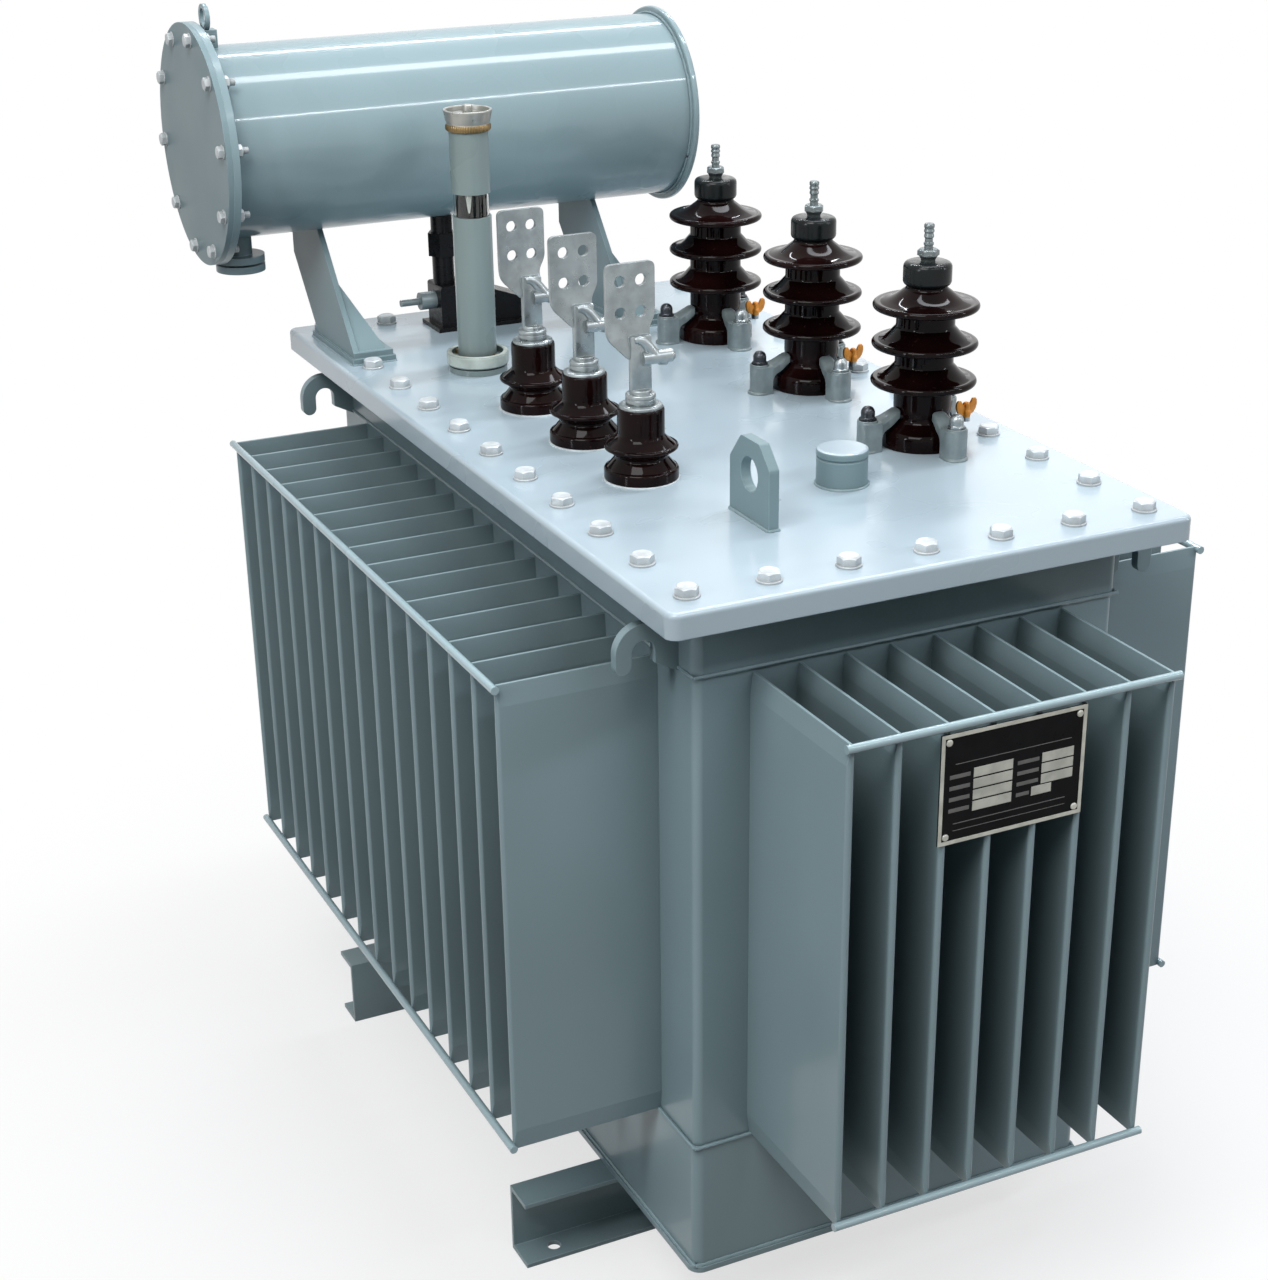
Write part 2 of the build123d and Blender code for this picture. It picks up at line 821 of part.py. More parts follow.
# Stepped nut, upright blade with a pin to +X, and a drilled flag plate behind the blade
def lv_terminal():
    blade_crown = lv_blade_top - lv_blade_width / 2
    flag_left = lv_flag_centre_x - lv_flag_width / 2
    flag_right = lv_flag_centre_x + lv_flag_width / 2
    tail_left = lv_blade_width / 2 - lv_flag_tail_width
    slant = tail_left - flag_left
    flag_front = lv_blade_thickness / 2
    with BuildPart() as terminal:
        with BuildSketch(Plane.XY.offset(lv_top)):
            Circle(lv_dish_radius)
        extrude(amount=lv_dish_height)
        with BuildSketch(Plane.XY.offset(lv_nut_base)):
            Circle(lv_nut_radius)
        extrude(amount=lv_nut_height)
        with BuildSketch(Plane.XZ.offset(-lv_blade_thickness / 2)):
            with Locations((0, (lv_blade_base + blade_crown) / 2)):
                Rectangle(lv_blade_width, blade_crown - lv_blade_base)
            with Locations((0, blade_crown)):
                Circle(lv_blade_width / 2)
        extrude(amount=lv_blade_thickness)
        with BuildSketch(Plane.YZ):
            with Locations((-lv_blade_thickness / 2, lv_pin_height)):
                Circle(lv_pin_radius)
        extrude(amount=lv_pin_end)
        with BuildSketch(Plane.XZ.offset(lv_blade_thickness / 2)):
            with BuildLine():
                Polyline(
                    (0, lv_pin_height),
                    (lv_blade_width, lv_pin_height),
                    (0, lv_pin_height + lv_web_height),
                    close=True,
                )
            make_face()
        extrude(amount=lv_pin_radius / 2)
        with BuildSketch(Plane.XZ.offset(-flag_front - lv_flag_thickness)) as flag:
            with BuildLine():
                Polyline(
                    (flag_left, lv_flag_top),
                    (flag_right, lv_flag_top),
                    (flag_right, lv_flag_shoulder),
                    (lv_blade_width / 2, lv_flag_neck),
                    (lv_blade_width / 2, lv_flag_tail),
                    (tail_left, lv_flag_tail),
                    (flag_left, lv_flag_tail + slant),
                    close=True,
                )
            make_face()
            fillet(flag.vertices().group_by(Axis.Y)[-1], radius=lv_flag_corner_radius)
            with Locations((lv_flag_centre_x, (lv_flag_bottom + lv_flag_top) / 2)):
                with GridLocations(lv_flag_spacing_x, lv_flag_spacing_z, 2, 2):
                    Circle(lv_flag_hole_radius, mode=Mode.SUBTRACT)
        extrude(amount=lv_flag_thickness)
    return terminal.part


lv_porcelain_solid = lv_porcelain()
lv_terminal_solid = lv_terminal()
for number, row in enumerate((-1, 0, 1), start=1):
    place = Location((lv_x, lv_y + row * lv_pitch, lid_top))
    finish(lv_porcelain_solid.moved(place), "lv_porcelain_" + str(number))
    finish(lv_terminal_solid.moved(place), "lv_terminal_" + str(number))

# Conservator: a shell tube along X, closed by a bolted cover at one end and a welded cap
with BuildPart() as shell:
    with BuildSketch(Plane.YZ.offset(conservator_left)):
        with Locations((conservator_y, conservator_z)):
            Circle(conservator_radius)
            Circle(conservator_radius - conservator_wall, mode=Mode.SUBTRACT)
    extrude(amount=conservator_right - conservator_left)
finish(shell.part, "conservator_shell")

with BuildPart() as cover_flange:
    with BuildSketch(Plane.YZ.offset(conservator_left - cover_flange_thickness)):
        with Locations((conservator_y, conservator_z)):
            Circle(cover_radius)
            Circle(conservator_radius - conservator_wall, mode=Mode.SUBTRACT)
            with PolarLocations(cover_bolt_circle, cover_bolt_count, start_angle=cover_bolt_angle):
                Circle(cover_bolt_hole_radius, mode=Mode.SUBTRACT)
    extrude(amount=cover_flange_thickness)
finish(cover_flange.part, "conservator_flange")

cover_face = conservator_left - cover_flange_thickness - cover_thickness
with BuildPart() as cover:
    with BuildSketch(Plane.YZ.offset(cover_face)):
        with Locations((conservator_y, conservator_z)):
            Circle(cover_radius)
            with PolarLocations(cover_bolt_circle, cover_bolt_count, start_angle=cover_bolt_angle):
                Circle(cover_bolt_hole_radius, mode=Mode.SUBTRACT)
    extrude(amount=cover_thickness)
finish(cover.part, "conservator_end_cover")

with BuildPart() as end_cap:
    with BuildSketch(Plane.YZ.offset(conservator_right)):
        with Locations((conservator_y, conservator_z)):
            Circle(cap_ring_radius)
    extrude(amount=cap_ring_width)
    fillet(end_cap.edges(), radius=cap_ring_edge)
finish(end_cap.part, "conservator_end_cap")

# Lifting eye: a block seated on top of the shell behind the flange, with a ring above it
eye_block_top = conservator_z + conservator_radius + eye_block_height
eye_middle_x = conservator_left + eye_block_length / 2 + weld_gap
with BuildPart() as eye:
    with BuildSketch(Plane.XY.offset(eye_block_top)):
        with Locations((eye_middle_x, conservator_y)):
            Rectangle(eye_block_length, eye_block_width)
    extrude(amount=-2 * eye_block_height)
    with BuildSketch(Plane.YZ.offset(conservator_left)):
        with Locations((conservator_y, conservator_z)):
            Circle(conservator_radius + weld_gap)
    extrude(amount=2 * eye_block_length, mode=Mode.SUBTRACT)
    with BuildSketch(Plane.YZ.offset(eye_middle_x - eye_wire / 2)):
        with Locations((conservator_y, eye_block_top + eye_radius - eye_sink)):
            Circle(eye_radius)
            Circle(eye_radius - eye_wire, mode=Mode.SUBTRACT)
    extrude(amount=eye_wire)
finish(eye.part, "conservator_lifting_eye")


# Legs: a leaning plate on a foot and pad to its +X side, stiffened by a gusset
def conservator_leg(x):
    foot_base = lid_top + leg_pad_thickness
    foot_top = foot_base + leg_foot_thickness
    near = conservator_y - leg_near_offset
    far = conservator_y + leg_far_offset
    knee = conservator_y + leg_knee_offset
    foot_length = far - near + leg_foot_near + leg_foot_far
    foot_middle = (near - leg_foot_near + far + leg_foot_far) / 2
    with BuildPart() as leg:
        with BuildSketch(Plane.XY.offset(lid_top)):
            with Locations((x + leg_foot_width / 2, foot_middle)):
                Rectangle(leg_foot_width + 2 * leg_pad_margin, foot_length + 2 * leg_pad_margin)
            with Locations(*lid_bolt_points()):
                Circle(lid_bolt_hole_radius, mode=Mode.SUBTRACT)
        extrude(amount=leg_pad_thickness)
        with BuildSketch(Plane.XY.offset(foot_base)):
            with Locations((x + leg_foot_width / 2, foot_middle)):
                Rectangle(leg_foot_width, foot_length)
            with Locations(*lid_bolt_points()):
                Circle(lid_bolt_hole_radius, mode=Mode.SUBTRACT)
        extrude(amount=leg_foot_thickness)
        with BuildSketch(Plane.YZ.offset(x)):
            with BuildLine():
                Polyline(
                    (near, foot_top),
                    (far, foot_top),
                    (knee, foot_top + leg_knee_height),
                    (knee, conservator_z),
                    (near + leg_lean, foot_top + leg_rise),
                    close=True,
                )
            make_face()
        extrude(amount=leg_thickness)
        leaning = Plane(
            origin=(x + leg_thickness, near + leg_gusset_offset, foot_top),
            x_dir=(1, 0, 0),
            z_dir=(0, -leg_rise, leg_lean),
        )
        with BuildSketch(leaning):
            with BuildLine():
                Polyline(
                    (0, 0),
                    (leg_gusset_width, 0),
                    (0, leg_gusset_height),
                    close=True,
                )
            make_face()
        extrude(amount=-leg_thickness)
        with BuildSketch(Plane.YZ.offset(x - leg_foot_width)):
            with Locations((conservator_y, conservator_z)):
                Circle(conservator_radius)
        extrude(amount=3 * leg_foot_width, mode=Mode.SUBTRACT)
    return leg.part


finish(conservator_leg(leg_left_x), "conservator_leg_left")
finish(conservator_leg(leg_right_x), "conservator_leg_right")

# Gas relay: a cast box on the lid, tall under the pipe and low at its far end
with BuildPart() as relay:
    with BuildSketch(Plane.XY.offset(lid_top)):
        with Locations((relay_middle_x, pipe_y)):
            Rectangle(relay_length + 2 * relay_base_margin, relay_width + 2 * relay_base_margin)
    extrude(amount=relay_base_thickness)
    with BuildSketch(Plane.XZ.offset(-pipe_y)) as relay_outline:
        with BuildLine():
            Polyline(
                (relay_left, relay_base),
                (relay_left, relay_top),
                (relay_left + relay_shoulder, relay_top),
                (relay_left + relay_length, relay_base + relay_low_height),
                (relay_left + relay_length, relay_base),
                close=True,
            )
        make_face()
        fillet(relay_outline.vertices().group_by(Axis.Y)[-1], radius=relay_edge)
    extrude(amount=relay_width / 2, both=True)
finish(relay.part, "gas_relay")

# Pipe with a union, from the relay up to the underside of the conservator
pipe_reach = conservator_z - relay_top
union_base = relay_top + pipe_union_above_relay
with BuildPart() as pipe:
    with BuildSketch(Plane.XY.offset(relay_top)):
        with Locations((pipe_x, pipe_y)):
            Circle(pipe_radius)
    extrude(amount=pipe_reach)
    with BuildSketch(Plane.XY.offset(union_base)):
        with Locations((pipe_x, pipe_y)):
            RegularPolygon(pipe_union_radius, 6)
    extrude(amount=pipe_union_height)
    with BuildSketch(Plane.YZ.offset(pipe_x - pipe_union_radius)):
        with Locations((conservator_y, conservator_z)):
            Circle(conservator_radius + weld_gap)
    extrude(amount=2 * pipe_union_radius, mode=Mode.SUBTRACT)
finish(pipe.part, "conservator_pipe")

# Lever valve on the end of the relay
valve_z = relay_base + valve_height
with BuildPart() as valve:
    with BuildSketch(Plane.YZ.offset(relay_left)):
        with Locations((pipe_y, valve_z)):
            Circle(valve_radius)
    extrude(amount=-valve_length)
    with BuildSketch(Plane.YZ.offset(relay_left - valve_length)):
        with Locations((pipe_y, valve_z)):
            Circle(lever_radius)
    extrude(amount=-lever_length)
finish(valve.part, "relay_valve")

# Breather connection: a neck with a pair of bolted flanges under the bolted end
breather_x = conservator_left + breather_from_flange
breather_top = conservator_z - conservator_radius - breather_drop
pair_height = 2 * breather_thickness + breather_gasket
with BuildPart() as breather:
    with BuildSketch(Plane.XY.offset(breather_top)):
        with Locations((breather_x, conservator_y)):
            Circle(breather_neck_radius)
    extrude(amount=2 * breather_drop)
    with BuildSketch(Plane.YZ.offset(breather_x - breather_radius)):
        with Locations((conservator_y, conservator_z)):
            Circle(conservator_radius + weld_gap)
    extrude(amount=2 * breather_radius, mode=Mode.SUBTRACT)
    with BuildSketch(Plane.XY.offset(breather_top - pair_height)):
        with Locations((breather_x, conservator_y)):
            Circle(breather_radius)
    extrude(amount=breather_thickness)
    with BuildSketch(Plane.XY.offset(breather_top - breather_thickness - breather_gasket)):
        with Locations((breather_x, conservator_y)):
            Circle(breather_neck_radius)
    extrude(amount=breather_gasket)
    with BuildSketch(Plane.XY.offset(breather_top - breather_thickness)):
        with Locations((breather_x, conservator_y)):
            Circle(breather_radius)
    extrude(amount=breather_thickness)
finish(breather.part, "breather_flange")

# Oil level gauge: flanged cup, enamelled tube with a glass window, ring and dished cap
cup_inner = gauge_cup_radius - gauge_cup_wall
turned(
    "gauge_flange",
    gauge_x,
    gauge_y,
    lid_top,
    [
        (0, 0),
        (gauge_foot_radius, 0),
        (gauge_foot_radius, gauge_foot_height),
        (gauge_groove_radius, gauge_foot_height),
        (gauge_groove_radius, gauge_cup_base),
        (gauge_cup_radius, gauge_cup_base),
        (gauge_cup_radius, gauge_cup_top),
        (cup_inner, gauge_cup_top),
        (cup_inner, gauge_cup_floor),
        (0, gauge_cup_floor),
    ],
)
with BuildPart() as gauge_tube:
    for low, high in (
        (gauge_cup_floor, gauge_window_bottom),
        (gauge_window_top, gauge_tube_top),
    ):
        with BuildSketch(Plane.XY.offset(lid_top + low)):
            with Locations((gauge_x, gauge_y)):
                Circle(gauge_tube_radius)
        extrude(amount=high - low)
finish(gauge_tube.part, "gauge_tube")

with BuildPart() as gauge_glass:
    with BuildSketch(Plane.XY.offset(lid_top + gauge_window_bottom)):
        with Locations((gauge_x, gauge_y)):
            Circle(gauge_glass_radius)
    extrude(amount=gauge_window_top - gauge_window_bottom)
finish(gauge_glass.part, "gauge_glass")

turned(
    "gauge_cap",
    gauge_x,
    gauge_y,
    lid_top,
    [
        (0, gauge_tube_top),
        (gauge_ring_radius, gauge_tube_top),
        (gauge_ring_radius, gauge_ring_top),
        (gauge_cap_radius - gauge_cap_flare, gauge_ring_top),
        (gauge_cap_radius, gauge_top - gauge_cap_flare),
        (gauge_cap_radius, gauge_top),
        (gauge_cap_radius - gauge_cap_rim, gauge_top),
        (gauge_cap_radius - gauge_cap_rim, gauge_top - gauge_cap_depth),
        (gauge_knob_radius, gauge_top - gauge_cap_depth),
        (gauge_knob_radius, gauge_top + gauge_knob_height),
        (0, gauge_top + gauge_knob_height),
    ],
)

# Nameplate fixed across the folds of the end fins
plate_left = end_fin_places[plate_fin_index] - fin_thickness
plate_top = fin_top - plate_below_fin_top
with BuildPart() as nameplate:
    with BuildSketch(Plane.XZ.offset(end_wall + end_fin_depth)):
        with Locations((plate_left + plate_width / 2, plate_top - plate_height / 2)):
            Rectangle(plate_width, plate_height)
    extrude(amount=plate_thickness)
finish(nameplate.part, "nameplate")
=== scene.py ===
import json
import math
import random

import bmesh
import bpy
from mathutils import Matrix, Vector


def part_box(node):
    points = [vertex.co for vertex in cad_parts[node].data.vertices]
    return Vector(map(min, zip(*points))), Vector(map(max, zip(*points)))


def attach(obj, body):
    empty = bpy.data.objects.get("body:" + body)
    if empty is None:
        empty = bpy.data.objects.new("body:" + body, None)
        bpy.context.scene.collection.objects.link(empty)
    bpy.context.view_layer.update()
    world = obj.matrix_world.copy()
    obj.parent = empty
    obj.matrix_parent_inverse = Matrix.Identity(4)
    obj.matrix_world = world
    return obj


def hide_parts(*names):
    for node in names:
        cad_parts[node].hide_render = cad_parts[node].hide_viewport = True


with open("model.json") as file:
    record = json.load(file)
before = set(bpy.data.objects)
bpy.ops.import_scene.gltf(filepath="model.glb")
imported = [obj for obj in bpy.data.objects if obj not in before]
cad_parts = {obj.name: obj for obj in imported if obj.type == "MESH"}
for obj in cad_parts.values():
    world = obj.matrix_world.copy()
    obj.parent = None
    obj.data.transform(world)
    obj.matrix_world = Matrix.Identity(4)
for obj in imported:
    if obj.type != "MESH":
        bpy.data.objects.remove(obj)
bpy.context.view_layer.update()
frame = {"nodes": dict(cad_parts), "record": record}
nodes = frame["nodes"]
rng = random.Random(7)

# Lengths are in millimetres, up to the vertices. Materials, floor, lamps and camera are in metres.
MM = 0.001


def top(node):
    """Highest point of a node."""
    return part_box(node)[1].z / MM


def low(node):
    """Lowest corner of a node's box."""
    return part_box(node)[0] / MM


def high(node):
    """Highest corner of a node's box."""
    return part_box(node)[1] / MM


# ---------------------------------------------------------------- mesh helpers
def place(x, y, z, axis="z", turn=0.0):
    """Local millimetres with the local Z along the axis, moved to a point of the row frame."""
    turns = {
        "z": Matrix.Identity(4),
        "-z": Matrix.Rotation(math.pi, 4, "X"),
        "x": Matrix.Rotation(math.pi / 2, 4, "Y"),
        "-x": Matrix.Rotation(-math.pi / 2, 4, "Y"),
        "-y": Matrix.Rotation(math.pi / 2, 4, "X"),
    }
    spin = Matrix.Rotation(math.radians(turn), 4, "Z")
    return Matrix.Scale(MM, 4) @ Matrix.Translation((x, y, z)) @ turns[axis] @ spin


def angles(count):
    """Equal steps around a full turn, in radians."""
    return [2 * math.pi * i / count for i in range(count)]


def rings(bm, loops, closed_ends=True, tag=0):
    """Skins a list of vertex loops of the same length; a loop of one vertex is a pole."""
    for a, b in zip(loops, loops[1:]):
        count = max(len(a), len(b))
        for i in range(count):
            j = (i + 1) % count
            if len(a) == 1:
                quad = (a[0], b[j], b[i])
            elif len(b) == 1:
                quad = (a[i], a[j], b[0])
            else:
                quad = (a[i], a[j], b[j], b[i])
            face = bm.faces.new(quad)
            face.material_index = tag
    if closed_ends:
        for loop, flip in ((loops[0], True), (loops[-1], False)):
            if len(loop) > 2:
                face = bm.faces.new(list(reversed(loop)) if flip else loop)
                face.material_index = tag


def ring(bm, at, radius, height, segments):
    """A circle of vertices about the local Z."""
    return [
        bm.verts.new(at @ Vector((radius * math.cos(t), radius * math.sin(t), height)))
        for t in angles(segments)
    ]


def lathe(bm, profile, at, segments=32, tag=0):
    """A profile of radius and height turned about the axis; a radius of zero is a pole."""
    loops = []
    for r, h in profile:
        if r <= 0:
            loops.append([bm.verts.new(at @ Vector((0, 0, h)))])
        else:
            loops.append(ring(bm, at, r, h, segments))
    rings(bm, loops, tag=tag)


def lathe_ring(bm, profile, at, segments=32):
    """A closed profile turned about the axis, for a body with a hole."""
    loops = [ring(bm, at, r, h, segments) for r, h in profile]
    rings(bm, loops + [loops[0]], closed_ends=False)


HEX_STEP = math.pi / 3
HEX_SLOPE = math.tan(math.radians(28))
HEX_RIM = 0.95
HEX_SEGMENTS = 36


def hex_radius(half, angle):
    """Reach of a hexagon in a direction, from half its width across the flats."""
    return half / math.cos((angle + HEX_STEP / 2) % HEX_STEP - HEX_STEP / 2)


def hex_head(bm, at, across, height, tag=0, crown=0.5, dish=0.0):
    """A hexagon head with its corners turned down to a round crown."""
    half = across / 2
    rim = half * HEX_RIM

    def loop(radius, z):
        return [
            bm.verts.new(at @ Vector((radius(t) * math.cos(t), radius(t) * math.sin(t), z(t))))
            for t in angles(HEX_SEGMENTS)
        ]

    def side(t):
        return hex_radius(half, t)

    loops = [
        loop(side, lambda t: 0.0),
        loop(side, lambda t: height - crown - (side(t) - rim) * HEX_SLOPE),
        loop(lambda t: rim, lambda t: height - crown),
        loop(lambda t: rim * 0.93, lambda t: height),
        loop(lambda t: rim * 0.55, lambda t: height - dish),
    ]
    rings(bm, loops, tag=tag)


def washer(bm, at, outer, inner, thick, segments=32):
    """A flat ring with its outer edge broken."""
    edge = min(0.6, thick * 0.3)
    profile = [(inner, 0), (outer, 0), (outer, thick - edge), (outer - edge, thick), (inner, thick)]
    lathe_ring(bm, profile, at, segments)


def thread(bm, at, radius, length, pitch, depth):
    """Ridges of a screw thread, as rings along the axis, with a broken end."""
    root = radius - depth
    profile = [(0, 0), (root, 0)]
    for i in range(max(1, int(length / pitch))):
        z = i * pitch
        profile += [(root, z + pitch * 0.15), (radius, z + pitch * 0.5), (root, z + pitch * 0.85)]
    profile += [(root, length - 0.6), (root - 0.8, length), (0, length)]
    lathe(bm, profile, at, 24)


def heading(line, i):
    """Direction of a line at one of its points."""
    return (line[min(len(line) - 1, i + 1)] - line[max(0, i - 1)]).normalized()


def bar_loop(bm, centre, u, v, radius, sides):
    """A circle of vertices across a bar, in the plane of u and v."""
    return [
        bm.verts.new((centre + u * (radius * math.cos(t)) + v * (radius * math.sin(t))) * MM)
        for t in angles(sides)
    ]


RIPPLE_LOW, RIPPLE_STEP, RIPPLE_LEAST, RIPPLE_MOST = 0.84, 0.16, -0.14, 0.22


def bead(bm, points, radius, pitch=5.0, closed=False):
    """A weld bead along a line: a rounded ridge with ripples of uneven size."""
    pts = [Vector(p) for p in points]
    if closed:
        pts.append(pts[0])
    line = []
    for a, b in zip(pts, pts[1:]):
        steps = max(1, round((b - a).length / pitch))
        line += [a.lerp(b, i / steps) for i in range(steps)]
    line.append(pts[-1])
    loops = []
    for i, p in enumerate(line):
        d = heading(line, i)
        steep = abs(d.z) > 0.9
        u = (d.orthogonal() if steep else d.cross(Vector((0, 0, 1)))).normalized()
        ripple = RIPPLE_LOW + RIPPLE_STEP * (i % 2) + rng.uniform(RIPPLE_LEAST, RIPPLE_MOST)
        loops.append(bar_loop(bm, p, u, d.cross(u), radius * ripple, 6))
    rings(bm, loops)


def tube(bm, points, radii):
    """A round bar along a line, closed at both ends, with its own radius at each point."""
    line = [Vector(p) for p in points]
    loops = []
    for i, p in enumerate(line):
        d = heading(line, i)
        u = d.cross(Vector((0, 1, 0))).normalized()
        loops.append(bar_loop(bm, p, u, d.cross(u), radii[i], 16))
    rings(bm, loops)


def soften(points, steps=5):
    """A profile with rounded corners, from points of radius, height and, to round one, reach."""
    found = [tuple(points[0][:2])]
    for before, point, after in zip(points, points[1:], points[2:]):
        here = Vector(point[:2])
        reach = point[2] if len(point) > 2 else 0
        if not reach:
            found.append(tuple(here))
            continue
        a = Vector(before[:2]) - here
        b = Vector(after[:2]) - here
        start = here + a.normalized() * min(reach, a.length * 0.49)
        end = here + b.normalized() * min(reach, b.length * 0.49)
        for i in range(steps + 1):
            t = i / steps
            found.append(tuple(start * (1 - t) ** 2 + here * (2 * t * (1 - t)) + end * t ** 2))
    found.append(tuple(points[-1][:2]))
    return found


def block(bm, lo, hi, bevel=0.0, tag=0):
    """A plain box between two corners, with its edges broken where a bevel is given."""
    made = bmesh.ops.create_cube(bm, size=1.0)["verts"]
    size = [(b - a) * MM for a, b in zip(lo, hi)]
    mid = [(a + b) / 2 * MM for a, b in zip(lo, hi)]
    bmesh.ops.scale(bm, vec=size, verts=made)
    bmesh.ops.translate(bm, vec=mid, verts=made)
    for v in made:
        for face in v.link_faces:
            face.material_index = tag
    if bevel:
        edges = list(dict.fromkeys(e for v in made for e in v.link_edges))
        bmesh.ops.bevel(bm, geom=edges, offset=bevel * MM, segments=2, affect="EDGES", profile=0.5)


def piece(name, bm, slot, *materials):
    """Turns a bmesh into a piece that rides on the root body."""
    mesh = bpy.data.meshes.new(name)
    bmesh.ops.recalc_face_normals(bm, faces=bm.faces)
    bm.to_mesh(mesh)
    bm.free()
    for polygon in mesh.polygons:
        polygon.use_smooth = True
    mesh.set_sharp_from_angle(angle=math.radians(38))
    for material in materials:
        mesh.materials.append(material)
    made = bpy.data.objects.new(name, mesh)
    bpy.context.scene.collection.objects.link(made)
    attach(made, "root")
    return made


# ------------------------------------------------------------------- materials
# Noise scales are per metre, and bump depths and reaches are in metres.
NODE_SAMPLES = 4
CLOUDS, DRIFT, SHEEN_DRIFT, WAVES, PEEL = 2.2, 7.0, 9.0, 5.0, 420.0
# Reach and strength of the painted shade that darkens a colour where other surfaces stand close.
SHADE_REACH, SHADE_MOST = 0.13, 0.66


def scaled(color, factor):
    return tuple(c * factor for c in color)


class Shader:
    """A node tree around one Principled shader."""

    def __init__(self, name, **fixed):
        self.material = bpy.data.materials.new(name)
        self.material.use_nodes = True
        self.tree = self.material.node_tree
        self.tree.nodes.clear()
        self.out = self.tree.nodes.new("ShaderNodeOutputMaterial")
        self.bsdf = self.tree.nodes.new("ShaderNodeBsdfPrincipled")
        self.link(self.bsdf.outputs[0], self.out.inputs["Surface"])
        self.coord = self.tree.nodes.new("ShaderNodeTexCoord").outputs["Object"]
        for key, value in fixed.items():
            self.bsdf.inputs[key.replace("_", " ")].default_value = value

    def link(self, a, b):
        self.tree.links.new(a, b)

    def node(self, kind, **options):
        made = self.tree.nodes.new(kind)
        for key, value in options.items():
            setattr(made, key, value)
        return made

    def noise(self, scale, detail=3.0, rough=0.5, stretch=None):
        made = self.node("ShaderNodeTexNoise")
        made.inputs["Scale"].default_value = scale
        made.inputs["Detail"].default_value = detail
        made.inputs["Roughness"].default_value = rough
        source = self.coord
        if stretch:
            mapping = self.node("ShaderNodeMapping")
            mapping.inputs["Scale"].default_value = stretch
            self.link(self.coord, mapping.inputs["Vector"])
            source = mapping.outputs["Vector"]
        self.link(source, made.inputs["Vector"])
        return made.outputs["Fac"]

    def ramp(self, value, stops):
        """A colour that eases from stop to stop, each (position, colour)."""
        made = self.node("ShaderNodeValToRGB")
        ramp = made.color_ramp
        ramp.interpolation = "EASE"
        for element, (position, color) in zip(ramp.elements, stops):
            element.position = position
            element.color = (*color, 1.0)
        self.link(value, made.inputs["Fac"])
        return made.outputs["Color"]

    def span(self, value, from_low, from_high, to_low, to_high):
        """A value eased from one range to another, and held at its ends."""
        made = self.node("ShaderNodeMapRange", interpolation_type="SMOOTHSTEP")
        numbers = {"From Min": from_low, "From Max": from_high, "To Min": to_low, "To Max": to_high}
        for key, number in numbers.items():
            made.inputs[key].default_value = number
        self.link(value, made.inputs["Value"])
        return made.outputs["Result"]

    def mix(self, factor, a, b):
        """Two colours, each a socket or three numbers, mixed by a socket."""
        made = self.node("ShaderNodeMix", data_type="RGBA")
        self.link(factor, made.inputs[0])
        for socket, value in ((made.inputs[6], a), (made.inputs[7], b)):
            if isinstance(value, tuple):
                socket.default_value = (*value, 1.0)
            else:
                self.link(value, socket)
        return made.outputs[2]

    def painted_shade(self, tone, base, distance, most):
        """Darken a tone with painted shade where other surfaces stand close by, in corners and
        between parts.
        """
        hollow = self.node("ShaderNodeAmbientOcclusion", samples=NODE_SAMPLES)
        hollow.inputs["Distance"].default_value = distance
        share = self.span(hollow.outputs["AO"], 0.15, 1.0, most, 0.0)
        return self.mix(share, tone, scaled(base, 0.30))

    def rounded(self, edge):
        """The normal with corners rounded by a radius in metres."""
        made = self.node("ShaderNodeBevel", samples=NODE_SAMPLES)
        made.inputs["Radius"].default_value = edge
        return made.outputs["Normal"]

    def color(self, value):
        self.link(value, self.bsdf.inputs["Base Color"])

    def rough(self, scale, detail, low_end, high_end):
        """Roughness that wanders between two values."""
        value = self.span(self.noise(scale, detail), 0.3, 0.7, low_end, high_end)
        self.link(value, self.bsdf.inputs["Roughness"])

    def bump(self, layers, edge=0.0):
        """Bumps one on another, each (height, strength, metres); edge rounds the corners."""
        normal = self.rounded(edge) if edge else None
        for height, strength, distance in layers:
            made = self.node("ShaderNodeBump")
            made.inputs["Strength"].default_value = strength
            made.inputs["Distance"].default_value = distance
            self.link(height, made.inputs["Height"])
            if normal:
                self.link(normal, made.inputs["Normal"])
            normal = made.outputs["Normal"]
        self.link(normal, self.bsdf.inputs["Normal"])


